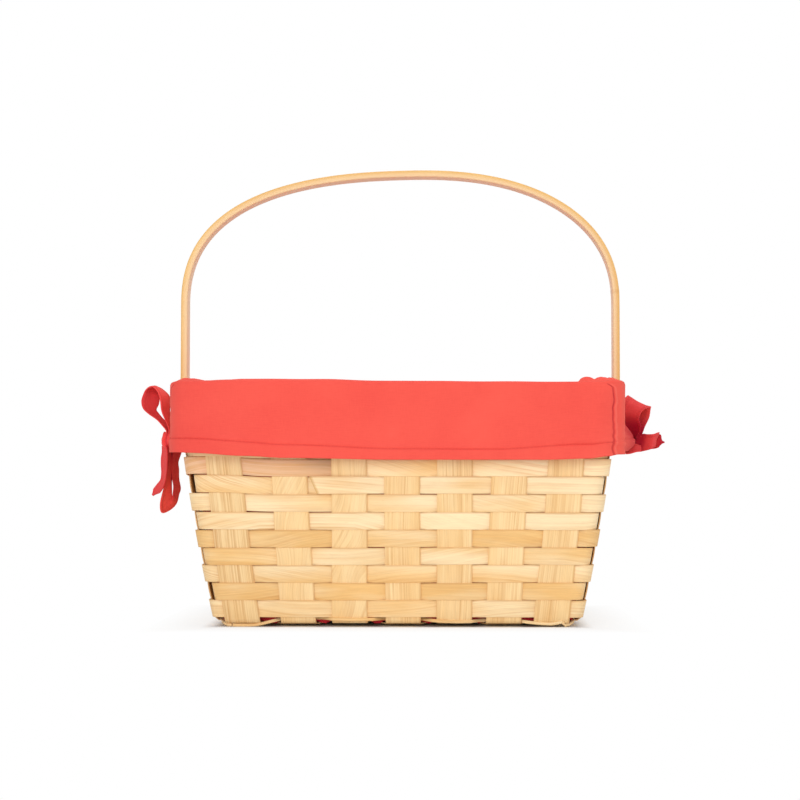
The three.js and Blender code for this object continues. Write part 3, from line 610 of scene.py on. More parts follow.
def make_weaver(row, row_tone, row_gold):
    middle = row_middle(row)
    round_length = sum(wall_lengths(middle))
    stakes = stakes_round(middle)
    seed = 50 + row * 2.3
    half_stake = STAKE_WIDTH / 2
    if row == FRONT_LAP_ROW:
        lap = FRONT_LAP
        start = FRONT_LAP_PLACE + half_length(middle) - corner_radius(middle)
    else:
        lap = BACK_LAP
        hiding = [place for place, kind, index in stakes
                  if kind == "cross" and place > round_length * BACK_FROM
                  and not row_outside(kind, index, row)]
        start = hiding[row % len(hiding)]
    rounder = corner_radius(middle) - BASE_CORNER
    tuck_ends = [end + gain * rounder for end, gain in TUCK_ENDS]
    corner_stakes = []
    for i, (place, kind, index) in enumerate(stakes):
        neighbours = (stakes[i - 1][1], stakes[(i + 1) % len(stakes)][1])
        if kind == "length" and "cross" in neighbours and not row_outside(kind, index, row):
            corner_stakes.append((place, -1 if neighbours[0] == "cross" else 1))

    def shorter_way(distance):
        """A distance from a place of the wall, forwards or backwards, whichever is shorter."""
        return (distance + round_length / 2) % round_length - round_length / 2

    def tuck(distance):
        """How far the row is drawn in behind the stake beside a corner."""
        drawn = 0.0
        for place, towards_corner in corner_stakes:
            away = shorter_way(distance - place) * towards_corner
            drawn += plateau(away, -half_stake, half_stake, *tuck_ends)
        at_left_corner = abs(shorter_way(distance)) < half_depth(middle)
        return drawn * (TIGHT_ROWS.get(row, CORNER_TUCK) if at_left_corner else CORNER_TUCK)

    def swing(distance):
        """Offset from the wall's middle: outside a stake or inside it, and slanting in the gaps.
        At a corner a row goes in just before the stake that it passes behind."""
        distance %= round_length
        before, after = between_stakes(stakes, distance, round_length)
        a, b = [1 if row_outside(kind, index, row) else -1 for _, kind, index in (before, after)]
        low, high = before[0] + half_stake, after[0] - half_stake
        if before[1] != after[1]:
            behind_cross = (before if a < 0 else after)[1] == "cross"
            near, far = (0, CROSS_REACH) if behind_cross else (LENGTH_START, high - low - LENGTH_SPARE)
            low, high = (low + near, low + far) if a < 0 else (high - far, high - near)
        share = min(max((distance - low) / max(high - low, 1e-6), 0), 1)
        side = a + (b - a) * (STRAIGHTNESS * share + (1 - STRAIGHTNESS) * smooth(share, 0, 1))
        nearest = min(distance - before[0], after[0] - distance)
        bulge = WEAVER_BULGE * max(0.0, math.cos(nearest / STAKE_WIDTH * 2)) if side > 0 else 0
        return side * WEAVER_SWING + bulge - tuck(distance)

    def bend(u, v, w):
        distance = start + u - LAP_SLANT * (v / WEAVER_WIDTH) * (1 - smooth(u, 0, SLANT_REACH))
        over = 1 - smooth(u, lap, lap + LAP_EASE)
        offset = swing(distance) + w + over * (WEAVER_THICKNESS + LAP_GAP)
        if row == FRONT_LAP_ROW:
            offset += LAP_SPRING * (1 - smooth(u, 0, SPRING_REACH))
        z = middle + v * (1 + 0.02 * wander(u * 14, seed)) + WEAVER_WANDER * wander(u * 9, seed + 3)
        near_corner = 1 - smooth(abs(shorter_way(distance)), *RISE_REACH)
        z += CORNER_RISE * smooth(row, *RISING_ROWS) * near_corner
        return wall_point(wall_turn(distance, middle), z, offset)

    def from_middle(u):
        """Place along the front wall, from its middle."""
        return shorter_way(start + u) - half_length(middle) + corner_radius(middle)

    def heart(u, begin, begun):
        """Where the heartwood shows, from a begin that is eased up to begun."""
        return plateau(from_middle(u), begin, begun, HEART_TO, HEART_TO + HEART_EASE_OUT)

    def tone(u, v, w):
        # The first millimetre of the cut end gets painted shade.
        shade = row_tone + 0.035 * wander(u * 13, seed + 8) - CUT_END_SHADE * (1 - smooth(u, 0, 1 * MM))
        if row == HEART_ROW:
            shade -= STREAK_TONE * smooth(v, *STREAK_ACROSS) * heart(u, HEART_STREAK, HEART_TO)
        return shade

    def gold(u, v, w):
        paler = LAP_PALER * (1 - smooth(u, *PALER_REACH)) if row == FRONT_LAP_ROW else 0
        # The painted shade at the cut end is warmed to an orange brown.
        end_shade_warmth = 1 - smooth(u, 0, 1.5 * MM)
        return row_gold - paler + end_shade_warmth + 0.3 * wander(u * 9, seed + 20)

    def plainness(u, v, w):
        base = -0.3 if row == HEART_ROW and from_middle(u) < HEART_TO else 0.25
        return base + 0.4 * wander(u * 8, seed + 27)

    def blush(u, v, w):
        shown = row == HEART_ROW
        return HEART_BLUSH * heart(u, HEART_FROM - HEART_EASE_IN, HEART_FROM) if shown else 0.0

    def figure(u, v, w):
        return 0.12 + 0.2 * wander(u * 5, seed + 12)

    strip = flat_strip(
        f"weaver_{row}_splint", (round_length + lap, WEAVER_WIDTH, WEAVER_THICKNESS), WEAVER_STEPS,
        WEAVER_ROWS, SPLINT_EDGE, bend, {"seed": seed, "tone": tone, "figure": figure, "blush": blush,
                                         "gold": gold, "plainness": plainness})
    dress(strip, WEAVER_WOOD, "basket", "weaver_wood", f"weaver_{row}")


for number, looks in enumerate(ROWS):
    make_weaver(number + 1, *looks)

# Base binder. A thin, nearly round reed, laced round the edge of the base: under the stakes that
# the first weaver passes behind, and over the others. The basket stands on it.
BINDER_WIDTH = 2.8 * MM
BINDER_THICKNESS = 2.3 * MM
BINDER_EDGE = 0.7 * MM
BINDER_STEPS, BINDER_ROWS = 400, 2
BINDER_CORNER = 12 * MM
BINDER_OUTER = -2.65 * MM
BINDER_INNER = -5 * MM
# How high the reed's middle lies over that of a stake, and how far it keeps to a stake's side.
BINDER_OVER = 1.65 * MM
BINDER_HOLD = STAKE_WIDTH / 2 + 1 * MM
BINDER_GAP = 0.4 * MM
# How high the reed runs along the front, as places along the wall and heights above the ground:
# low under the left corner, and crept up the bends of the middle stakes. It moves out as it climbs.
BINDER_FRONT = [(-128, 3.6), (-117, 0), (-104, 0), (-80, 4.2), (-56, 4.9), (-32, 4.1), (4, 4.8),
                (42, 2.7), (75, 3.9), (108, 1.2), (126, 4.4)]
BINDER_SPREAD = 1.2
BINDER_CLIMB = 4.4 * MM


def eased(table, place):
    """Reads a table of (place, value) in millimetres at a place in metres, with soft steps."""
    place = min(max(place / MM, table[0][0]), table[-1][0])
    for (place0, value0), (place1, value1) in zip(table, table[1:]):
        if place <= place1:
            return (value0 + (value1 - value0) * smooth(place, place0, place1)) * MM


def make_binder():
    stakes = stakes_round(0)
    round_length = sum(wall_lengths(0))

    def spot_at(place, kind, index):
        """The reed's middle at a stake, as (offset from the wall, height)."""
        if row_outside(kind, index, 0):
            return Vector((BINDER_OUTER, BINDER_THICKNESS / 2))
        layer = BASE_LAYER if kind == "length" and lies_above(index, 0) else 0
        return Vector((BINDER_INNER, BASE_LEVEL + layer + BINDER_OVER))

    def bend(u, v, w):
        distance = u % round_length
        before, after = between_stakes(stakes, distance, round_length)
        share = smooth(distance, before[0] + BINDER_HOLD, after[0] - BINDER_HOLD)
        spot = spot_at(*before).lerp(spot_at(*after), share)
        turn = wall_turn(distance, 0)
        place = wall_point(turn, 0, spot.x, BINDER_CORNER)
        if turn <= 1 and place.y < 0:
            lift = eased(BINDER_FRONT, place.x)
            outside = (spot.x - BINDER_INNER) / (BINDER_OUTER - BINDER_INNER)
            climbed = min(BINDER_SPREAD * lift, BINDER_CLIMB) * outside
            spot = Vector((spot.x + climbed, max(spot.y, BINDER_THICKNESS / 2 + lift)))
        point = wall_point(turn, 0, spot.x + v, BINDER_CORNER)
        return Vector((point.x, point.y, max(spot.y + w, 0)))

    reed = flat_strip("base_binder_reed", (round_length - BINDER_GAP, BINDER_WIDTH, BINDER_THICKNESS),
                      BINDER_STEPS, BINDER_ROWS, BINDER_EDGE, bend,
                      {"seed": 80.0, "tone": -0.03, "gold": 0.3})
    dress(reed, WEAVER_WOOD, "basket", "weaver_wood", "base_binder")


make_binder()

# Rim bands, nails and washers. The bands are wooden strips round the rim, outside and inside, that
# clamp the tops of the stakes, with small steel tacks through them. The liner hides them, so they
# keep their plain shapes.
BAND_WOOD = wood_material(
    "band wood", pale=colour(244, 211, 156), warm=colour(238, 199, 138), line=colour(219, 170, 108),
    lines=520.0, strength=0.6, bump=0.12 * MM, figure=0.004)


def brushed_steel():
    material, tree, shader = new_material("bright steel")
    scuffs = noise_value(add(tree, "TexCoord")["Object"], 900.0, 3.0, 0.6)
    plug(shader, Base_Color=blend_colours(scuffs, colour(176, 178, 180), colour(214, 215, 216)),
         Roughness=spread(scuffs, 0.3, 0.7, 0.24, 0.42), Metallic=1.0)
    return material


STEEL = brushed_steel()


def repaint(node, material):
    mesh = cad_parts[node].data
    mesh.materials.clear()
    mesh.materials.append(material)


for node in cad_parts:
    if node.endswith("rim_band"):
        repaint(node, BAND_WOOD)
    if node.startswith("rim_nail") or node.endswith("washer"):
        repaint(node, STEEL)

# Handle. One strip of bamboo, 16 mm wide and 5 mm thick, steamed and bent to an arch, with eased
# edges, round ends, and the faint rings of its joints. It swings on the two rivets in its legs.
HANDLE_LOW, HANDLE_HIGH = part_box("handle")
HANDLE_THICKNESS = 5.1 * MM
HANDLE_WIDTH = 16 * MM
HANDLE_EASE = 1.0 * MM
ARCH_BOTTOM = RIM_HEIGHT + 65 * MM
ARCH_POWER = 2.4
ARCH_STEPS = 120
HANDLE_STEPS, HANDLE_ROWS = 420, 4
# How much higher the arch stands on its right, and lower on its left.
ARCH_SKEW = 1.4 * MM
# How blunt its round ends are left, as a share of its width, squared.
TIP_SHARE = 0.0004
# Places of the joints of the cane along the strip, from its left end, and how they swell.
CANE_JOINTS = [24 * MM, 505 * MM, 612 * MM]
CANE_SWELL = 0.22 * MM
SWELL_REACH = 3.5 * MM


def bell(away, reach):
    """1 at a place, and falling to nothing on both sides of it."""
    return math.exp(-(away / reach) ** 2)


def bamboo():
    """Fine straight fibres in honey colours, darker at the joints of the cane, and paler towards the
    inner face: partly the cane's own paler side, partly painted light on its lower edge and underside."""
    material, tree, shader = new_material("bamboo")
    place = strip_map(tree)
    grain = add(tree, "Group", {"node_tree": WOOD_GRAIN}, Along=place, Seed=3.0, Figure=0.0,
                Lines=260.0, Strength=0.35, Pores=0.0, Fibres=0.0, Pale=colour(236, 190, 118),
                Line=colour(216, 162, 92), Warm=colour(229, 176, 102))
    rough = noise_value(place, 500.0, 2.0, 0.5)
    along, _, _ = add(tree, "SeparateXYZ", Vector=place)
    # Paler towards the inner face: the cane's paler side, and painted light on the shaded underside.
    tinted = blend_colours(attribute(tree, "pale_and_lit") * 0.68, grain["Color"], colour(253, 228, 186))
    for joint in CANE_JOINTS:
        away = abs(along + (rough - 0.5) * (2 * MM) - joint)
        tinted = blend_colours(spread(away, 0.0, 2.2 * MM, 0.32, 0.0), tinted, colour(206, 146, 84))
    bumped = add(tree, "Bump", Strength=0.1, Distance=0.02 * MM, Height=rough)[0]
    plug(shader, Base_Color=tinted, Roughness=spread(rough, 0.3, 0.7, 0.36, 0.5), Normal=bumped,
         Specular_IOR_Level=0.4)
    return material


def arch_line():
    reach = HANDLE_HIGH.x - HANDLE_THICKNESS / 2
    rise = HANDLE_HIGH.z - HANDLE_THICKNESS / 2 - ARCH_BOTTOM
    points = [Vector((-reach, HANDLE_LOW.z))]
    for i in range(ARCH_STEPS + 1):
        angle = math.pi * (1 - i / ARCH_STEPS)
        across = abs(math.cos(angle)) ** (2 / ARCH_POWER) * math.copysign(1, math.cos(angle))
        up = max(math.sin(angle), 0) ** (2 / ARCH_POWER)
        lift = ARCH_SKEW * math.sin(math.pi * across) * up
        points.append(Vector((reach * across, ARCH_BOTTOM + rise * up + lift)))
    points.append(Vector((reach, HANDLE_LOW.z)))
    return along_line(points)


def make_handle():
    at, length = arch_line()
    radius = HANDLE_WIDTH / 2

    def bend(u, v, w):
        from_end = min(u, length - u)
        if from_end < radius:
            v *= math.sqrt(max(1 - (1 - from_end / radius) ** 2, TIP_SHARE))
        point, direction = at(u)
        swell = sum(CANE_SWELL * bell(u - joint, SWELL_REACH) for joint in CANE_JOINTS)
        out = w + math.copysign(swell * abs(w) / HANDLE_THICKNESS, w)
        point = point + Vector((-direction.y, direction.x)) * out
        return Vector((point.x, v, point.y))

    # The cane's paler side together with painted light, strongest at the inner face.
    def pale_and_lit(u, v, w):
        return 1 - smooth(w, -HANDLE_THICKNESS / 2, HANDLE_THICKNESS * 0.35)

    strip = flat_strip("handle_strip", (length, HANDLE_WIDTH, HANDLE_THICKNESS), HANDLE_STEPS,
                       HANDLE_ROWS, HANDLE_EASE, bend, {"pale_and_lit": pale_and_lit})
    dress(strip, bamboo(), "handle", "bamboo", "handle")


make_handle()

# Rivets. The two steel pins that the handle turns on, one through each leg and the rim. They have
# low domed heads outside the legs, and tails clenched inside the rim.
SHANK = 2 * MM
TAIL_RADIUS = 3.2 * MM
TAIL_FLAT = 2.4 * MM
TAIL_DEPTH = 0.9 * MM
TAIL_EDGE = 0.3 * MM
HEAD_DEPTH = 1.4 * MM
for node in ("left_rivet", "right_rivet"):
    low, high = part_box(node)
    side = 1 if low.x > 0 else -1
    head = max(abs(low.x), abs(high.x))
    tail = min(abs(low.x), abs(high.x))
    radius = (high.z - low.z) / 2
    height = (high.z + low.z) / 2
    profile = [(0, tail), (TAIL_FLAT, tail), (TAIL_RADIUS, tail + TAIL_EDGE),
               (TAIL_RADIUS, tail + TAIL_DEPTH), (SHANK, tail + TAIL_DEPTH), (SHANK, head - HEAD_DEPTH),
               (radius, head - HEAD_DEPTH), (radius, head - 0.75 * HEAD_DEPTH),
               (radius * 0.86, head - 0.55 * MM), (radius * 0.55, head - 0.15 * MM), (0, head)]
    bm = bmesh.new()
    verts = [bm.verts.new((side * x, r, 0)) for r, x in profile]
    edges = [bm.edges.new(pair) for pair in zip(verts, verts[1:])]
    bmesh.ops.spin(bm, geom=verts + edges, cent=(0, 0, 0), axis=(1, 0, 0), angle=2 * math.pi, steps=40,
                   use_merge=True)
    bmesh.ops.remove_doubles(bm, verts=bm.verts, dist=1e-6)
    bmesh.ops.translate(bm, vec=(0, 0, height), verts=bm.verts)
    bmesh.ops.recalc_face_normals(bm, faces=bm.faces)
    for face in bm.faces:
        face.smooth = True
    dress(mesh_object(node + "_domed", bm), STEEL, "basket", "steel", node)

# Liner. Two halves of red cotton, back and front, that meet at the middle of each end. They line
# the inside, fold over the rim and hang outside to a stitched hem, open where the handle passes.
CLOTH = 1.1 * MM
BAG_INSET = 6.8 * MM
BAG_CORNER = 7 * MM
BAG_TOP_CORNER = 12 * MM
BAG_FLOOR = 7.6 * MM
# How far the bag's walls are pressed out to the weave, and between which heights.
BAG_FILL = 2.6 * MM
FILLED_HEIGHTS = (9 * MM, 22 * MM, 126 * MM, 148 * MM)
BAG_SLACK = 1.1 * MM
FLOOR_INSET = BAG_INSET + 2.1 * MM
FLOOR_RISE = 0.5 * MM
FLOOR_SPREAD = 1.7
# How far the floor sinks at its edge: at the long walls, at the ends, and between the stakes.
SAG_AT_WALLS = 3.1 * MM
SAG_AT_ENDS = 2.2 * MM
SAG_IN_GAPS = 1.9 * MM
# Where along the floor the sag of the ends takes over, where that of the gaps is lost, and how
# far from a stake's edge a gap begins.
END_SAG_FROM = (112 * MM, 118 * MM)
GAPS_LOST = (100 * MM, 106 * MM)
GAP_BEGINS = (1.2 * MM, 3.6 * MM)
FLAP_CORNER = 20 * MM
LIP_HEIGHT = 171.6 * MM
FLAP_OFFSET = 3.7 * MM
FLAP_SLACK = 0.4 * MM
CORNER_FLARE = 0.045
# What the swinging handle clears: how far out the flaps may stand beside it, how high and wide.
HANDLE_CLEARANCE = 160.35 * MM
SWEEP_BOTTOM = 154.8 * MM
SWEEP_HALF_WIDTH = 80 * MM
# How much further out they may stand below it and to its sides, and within what distance.
FREE_BELOW, BELOW_FADE = 30 * MM, 20 * MM
FREE_BESIDE, BESIDE_FADE = 5 * MM, 16 * MM
LIMIT_EASE = 0.8 * MM
FLAP_DROP = 54 * MM
KNOT_REACH = 176.5 * MM
KNOT_HEIGHT = 133 * MM
KNOT_DROP = LIP_HEIGHT - KNOT_HEIGHT
# How far the left end (-1) and the right end (1) are drawn out to the bows, how far from a bow
# that is felt, from what height, and how much of it the hem below the bow lacks.
FLARES = {-1: 12.5 * MM, 1: 16 * MM}
FLARE_REACH = 80 * MM
FLARE_FROM = 15 * MM
HEM_RECESS = {-1: 0.12, 1: 0.5}
END_STRETCH = (RIM_HALF_LENGTH - 34 * MM, RIM_HALF_LENGTH - 6 * MM)
END_CREASES = (4 * MM, 26 * MM, 60 * MM, 108 * MM)
END_CREASE_DEPTH = 1.5 * MM
SLIT_HALF = 10.5 * MM
SLIT_AT_KNOT = 3 * MM
SLIT_ROOM = 60 * MM
OVER_RIM = 12 * MM
FLOOR_ROWS, WALL_ROWS, LIP_ROWS, FLAP_ROWS = 8, 28, 14, 60
LINER_COLUMNS = 150
# Where a flap's two upright seams lie, from the front wall's left, and the columns beside each.
SEAMS = [-20 * MM, 287 * MM]
SEAM_SHIFTS = [(118, 3.4), (137, 3.2), (150, 2.9), (160, 2.4), (168, 1.0), (172, -3.6)]
SEAM_GROOVE, SEAM_GROOVE_HALF = 0.6 * MM, 0.6 * MM
SEAM_STEP, SEAM_STEP_FROM, SEAM_STEP_HALF = 0.3 * MM, 1.7 * MM, 1.0 * MM
PUCKER, PUCKER_REACH = 0.5 * MM, 6 * MM
SEAM_COLUMNS = [-4.5, -3, -2, -1.3, -0.8, -0.4, 0, 0.4, 0.8, 1.3, 2, 3, 4, 5, 6, 7, 8, 9]
# Along a half from the front wall's left: the fold's height over the rim, how far the hem is drawn
# up, and how deep the hem is turned.
LIP_LIFTS = [(-130, 1.2), (-60, 1.0), (-22, 1.0), (-10, 1.4), (2, 1.0), (22, 1.8), (32, 2.4),
             (75, 2.4), (140, 1.0), (210, 0.4), (268, 0.1), (280, 0.5), (289, 2.0), (312, 1.8),
             (345, 1.4), (407, 1.2)]
HEM_LIFTS = [(-130, 8), (-60, 6.5), (-20, 5.7), (26, 3.0), (56, 1.6), (138, 0.3), (250, 0.3),
             (278, 1.1), (288, 2.9), (294, 4.2), (330, 5.6), (367, 7.4), (407, 9.4)]
HEM_DEPTHS = [(-130, 11), (0, 11), (60, 9.4), (140, 7.6), (210, 7.3), (268, 10.2), (407, 10.4)]
HEM_THICKNESS = 0.55 * MM
HEM_GROOVE = 0.5 * MM
# The corners' stretches of a half, and where the right bow is on the same scale.
LEFT_CORNER = (-70 * MM, -8 * MM, 6 * MM, 60 * MM)
RIGHT_CORNER = (215 * MM, 285 * MM, 300 * MM, 318 * MM)
BOW_ALONG = 330 * MM
# Gathers of the lining that stand above the fold at the corners: place, half of the width, rise.
GATHERS = [(-10, 16, 2.0), (268.6, 5.2, 3.7), (279.6, 6.4, 3.4), (287, 10, 1.6)]
# Where the columns of the liner's mesh lie close, for the gathers, and how close.
GATHER_FINE = (261 * MM, 281.5 * MM)
FINE_STEP = 1.2 * MM
# How much painted shade darkens the cloth in the bows' shadow, where its left corner turns from the
# light, and at the floor's edge in the shade under the bag, and where each of these fades.
BOW_SHADE, BOW_SHADE_REACH = {-1: 0.3, 1: 0.9}, (4 * MM, 62 * MM)
CORNER_SHADE, CORNER_SHADE_REACH = 0.09, (-60 * MM, -10 * MM, 8 * MM, 55 * MM)
FLOOR_SHADE, FLOOR_SHADE_HEIGHTS = 0.85, (5 * MM, 9 * MM)
ROUND = sum(wall_lengths(RIM_HEIGHT))
END_MIDDLE = wall_lengths(RIM_HEIGHT)[6] / 2 + wall_lengths(RIM_HEIGHT)[7]
STITCH = 2.6 * MM


def plain_weave():
    """Warp and weft threads at about 1.5 to the millimetre, with slubs and slow tone."""
    tree, given, out = shader_group(
        "plain weave", {"Along": None, "Pale": WHITE, "Shade": BLACK}, ["Color", "Height"])
    wobble = noise_value(given["Along"], 260.0, 2.0, 0.5) * 4.0
    x, y, _ = add(tree, "SeparateXYZ", Vector=given["Along"])
    threads = [maths("SINE", across * 9400.0 + wobble) for across in (x, y)]
    slubs = []
    for stretch in ((130, 1500, 1), (1500, 130, 1)):
        drawn_out = add(tree, "VectorMath", {"operation": "MULTIPLY"}, i0=given["Along"], i1=stretch)
        slubs.append(noise_value(drawn_out[0], 1.0, 3.0, 0.6))
    slub = slubs[0] * 0.6 + slubs[1] * 0.4
    tone = slub * 0.55 + noise_value(given["Along"], 22.0, 2.0, 0.5) * 0.4
    plug(out, Color=blend_colours(spread(tone, 0.33, 0.62), given["Shade"], given["Pale"]),
         Height=threads[0] * threads[1] * 0.3 + slub)
    return tree


def sewn_line():
    """A line of stitching in its groove, with painted shade in the groove. Away is the distance from
    the line in metres, and Run is the distance along it. The other two inputs say how dark that
    painted shade is, and how strong a painted highlight is where the cloth stands up beside the line."""
    tree, given, out = shader_group(
        "sewn line", {"Cloth": WHITE, "Away": 1.0, "Run": 0.0, "Depth": 0.5, "Ridge": 0.0},
        ["Color", "Height"])
    away = abs(given["Away"])
    groove = spread(away, 0.2 * MM, 1.0 * MM, 1.0, 0.0)
    # A painted highlight where the cloth stands up beside the line.
    highlight = spread(abs(given["Away"] - 1.9 * MM), 0.1 * MM, 1.0 * MM, 1.0, 0.0) * given["Ridge"]
    cloth = blend_colours(highlight, given["Cloth"], colour(255, 124, 108))
    beat = maths("SINE", given["Run"] * (2 * math.pi / STITCH))
    thread = spread(away, 0.15 * MM, 0.4 * MM, 1.0, 0.0) * spread(beat, -0.5, 0.1)
    # Painted shade in the groove.
    sunk = blend_colours(groove * given["Depth"], cloth, colour(186, 30, 42))
    plug(out, Color=blend_colours(thread * 0.3, sunk, colour(246, 92, 78)),
         Height=thread - groove * 1.6)
    return tree


PLAIN_WEAVE = plain_weave()
SEWN_LINE = sewn_line()


def cotton(name, pale, shade, painted_shade, sewn):
    """Plain-weave cotton, darkened to a crimson painted shade in its folds and shaded places, as its
    mesh gives. sewn(tree, v) gives its lines of stitching: the distance from each, how dark the painted
    shade in its groove is and how strong the painted highlight beside it is."""
    material, tree, shader = new_material(name)
    place = strip_map(tree)
    weave = add(tree, "Group", {"node_tree": PLAIN_WEAVE}, Along=place, Pale=pale, Shade=shade)
    tinted = blend_colours(attribute(tree, "painted_shade"), weave["Color"], painted_shade)
    height = weave["Height"]
    u, v, _ = add(tree, "SeparateXYZ", Vector=place)
    for away, shadow, highlight in sewn(tree, v):
        line = add(tree, "Group", {"node_tree": SEWN_LINE}, Cloth=tinted, Away=away, Run=u,
                   Depth=shadow, Ridge=highlight)
        tinted = line["Color"]
        height = height + line["Height"]
    bumped = add(tree, "Bump", Strength=0.4, Distance=0.2 * MM, Height=height)[0]
    plug(shader, Base_Color=tinted, Normal=bumped, Roughness=0.85, Specular_IOR_Level=0.2,
         Sheen_Weight=0.15, Sheen_Roughness=0.5, Sheen_Tint=colour(255, 170, 150))
    return material


def liner_lines(tree, v):
    return [(attribute(tree, "from_hem_line"), 0.3, 0.0), (attribute(tree, "from_seam"), 0.8, 0.4)]


# The third colour is the crimson of the cloth's painted shade.
LINER_COTTON = cotton("liner cotton", colour(248, 94, 80), colour(239, 82, 72), colour(190, 18, 46),
                      liner_lines)


def slit_half(drop):
    """Half the width of the opening in the flaps for the handle, down from the rim."""
    opened = smooth(drop, -1.5 * MM, 3 * MM)
    drawn = smooth(drop, 22 * MM, KNOT_DROP)
    return opened * (SLIT_HALF + (SLIT_AT_KNOT - SLIT_HALF) * drawn)


def open_slit(y, slit, room):
    """Moves a point of an end sideways, out of the opening."""
    return math.copysign(slit + abs(y) * (1 - slit / room), y) if abs(y) > 1e-6 else -slit


def eased_limit(reach, limit):
    """Keeps a reach below a limit, and rounds it off as it comes near."""
    room = limit - LIMIT_EASE
    return reach if reach < room else room + LIMIT_EASE * (1 - math.exp(-(reach - room) / LIMIT_EASE))


def from_seam(distance, z):
    """Distance from the nearer upright seam, which wavers."""
    shift = eased(SEAM_SHIFTS, z) + 0.3 * MM * wander(z * 115, 0.8) + 0.18 * MM * wander(z * 270, 3.8)
    return min(SEAMS[0] - shift - distance, distance - SEAMS[1] - shift, key=abs)


def seam_relief(distance, z):
    """The groove of a seam, the step between its two panels, and its puckers."""
    away = from_seam(distance, z)
    groove = SEAM_GROOVE * bell(away, SEAM_GROOVE_HALF)
    step = SEAM_STEP * bell(away - SEAM_STEP_FROM, SEAM_STEP_HALF)
    return step - groove + PUCKER * wander(z * 190, 4.4) * bell(away, PUCKER_REACH)


def flap_ripple(distance, turn, drop, z):
    """How a flap stands in and out: its hem and seams, its slow ripples, and the creases that run
    from the right bow and down the left corner."""
    hem_line = FLAP_DROP - eased(HEM_DEPTHS, distance)
    ripple = 0.3 * MM * wander(turn * 5, z * 30, 2.0) + 0.55 * MM * wander(turn * 2.2, z * 9, 5.0)
    ripple += seam_relief(distance, z) - HEM_GROOVE * bell(drop - hem_line, 0.9 * MM)
    ripple += HEM_THICKNESS * smooth(drop, hem_line + 0.2 * MM, hem_line + 1.4 * MM)
    ripple += 0.3 * MM * wander(distance * 70, 8.8) * smooth(drop, hem_line, FLAP_DROP)
    ripple *= smooth(drop, 2 * MM, 12 * MM)
    bow_way = math.atan2(z - KNOT_HEIGHT + 6 * MM, BOW_ALONG - distance)
    right = plateau(distance, *RIGHT_CORNER) * smooth(drop, 16 * MM, 36 * MM)
    left = plateau(distance, *LEFT_CORNER) * smooth(drop, 6 * MM, 20 * MM)
    ripple += 0.9 * MM * right * wander(bow_way * 9, 3.3)
    return ripple + 0.45 * MM * left * wander(distance * 95, 6.1)


def flap_point(distance, turn, drop, half):
    """A point of a flap. The ends are drawn out to the bows, with creases that run from them."""
    z = LIP_HEIGHT - drop * (1 - eased(HEM_LIFTS, distance) / FLAP_DROP)
    hang = half_depth(LIP_HEIGHT) - half_depth(z)
    hang += CORNER_FLARE * drop * plateau(distance, *LEFT_CORNER)
    offset = FLAP_OFFSET + FLAP_SLACK + hang + flap_ripple(distance, turn, drop, z)
    point = wall_point(turn, z, offset, FLAP_CORNER)
    to_end = smooth(abs(point.x), *END_STRETCH)
    if to_end > 0:
        side = math.copysign(1, point.x)
        away = abs(point.y)
        below = LIP_HEIGHT - z
        recess = HEM_RECESS[-side * half] * smooth(below, KNOT_DROP + 1 * MM, FLAP_DROP - 4 * MM)
        pull = smooth(below, FLARE_FROM, KNOT_DROP) * (1 - recess)
        near = 1 - smooth(away, 0, FLARE_REACH)
        from_knot = math.atan2(z - KNOT_HEIGHT, away + 6 * MM)
        crease = math.sin(from_knot * 9 + side * 1.3 + 2 * wander(from_knot * 2, side))
        crease *= END_CREASE_DEPTH * plateau(away, *END_CREASES) * smooth(drop, 14 * MM, 26 * MM)
        point.x += side * to_end * (FLARES[-side * half] * pull * near ** 1.4 + crease)
        limit = HANDLE_CLEARANCE + FREE_BELOW * smooth(SWEEP_BOTTOM - z, 0, BELOW_FADE)
        limit += FREE_BESIDE * smooth(away - SWEEP_HALF_WIDTH, 0, BESIDE_FADE)
        point.x = side * eased_limit(abs(point.x), limit)
        room = half_depth(z) - FLAP_CORNER
        if away < room:
            point.y = open_slit(point.y, slit_half(below), room)
    return point


def fold_point(distance, turn, share, half):
    """A point of the fold over the rim, from the inside to the outside."""
    angle = math.pi * share
    middle, reach = (FLAP_OFFSET - BAG_INSET) / 2, (FLAP_OFFSET + BAG_INSET) / 2
    lift = eased(LIP_LIFTS, distance) + 0.25 * MM * wander(turn * 9, half * 3.0, 0.3)
    gather = max(height * MM * math.sqrt(max(1 - ((distance / MM - place) / half_width) ** 2, 0))
                 for place, half_width, height in GATHERS)
    corner = BAG_TOP_CORNER + (FLAP_CORNER - BAG_TOP_CORNER) * share
    point = wall_point(turn, LIP_HEIGHT, middle - reach * math.cos(angle), corner)
    point.z = LIP_HEIGHT + lift * math.sin(angle) ** 0.8 + gather * bell(share - 0.4, 0.16)
    if abs(point.x) > RIM_HALF_LENGTH - 10 * MM and abs(point.y) < SLIT_ROOM:
        slit = slit_half(-1.5 * MM * (1 - smooth(share, 0.7, 1.0)))
        point.y = open_slit(point.y, slit, SLIT_ROOM)
    return point


def bag_wall_point(turn, share, half):
    """A point of the bag's wall, from the floor up: slack, and pressed out between the corners."""
    z = BAG_FLOOR + (LIP_HEIGHT - BAG_FLOOR) * share
    slack = max(0.0, BAG_SLACK * (wander(turn * 2.6, z * 16, half * 1.5) + 0.5))
    slack *= plateau(share, 0.02, 0.2, 0.86, 1.0)
    on_wall = 1 - smooth(abs(turn % 1 - 0.5), 0.3, 0.44) if int(turn) % 2 == 0 else 0
    filled = BAG_FILL * on_wall * plateau(z, *FILLED_HEIGHTS)
    corner = BAG_CORNER + (BAG_TOP_CORNER - BAG_CORNER) * share
    return wall_point(turn, z, -BAG_INSET + filled - slack * (1 - 0.6 * on_wall), corner)


def stake_gap(place):
    """1 in the gaps between the cross stakes, where they bend up, and 0 over a stake."""
    nearest = min(abs(place - stake_place("cross", index, 0)) for index in range(len(STAKES["cross"])))
    return smooth(nearest - STAKE_WIDTH / 2, *GAP_BEGINS)


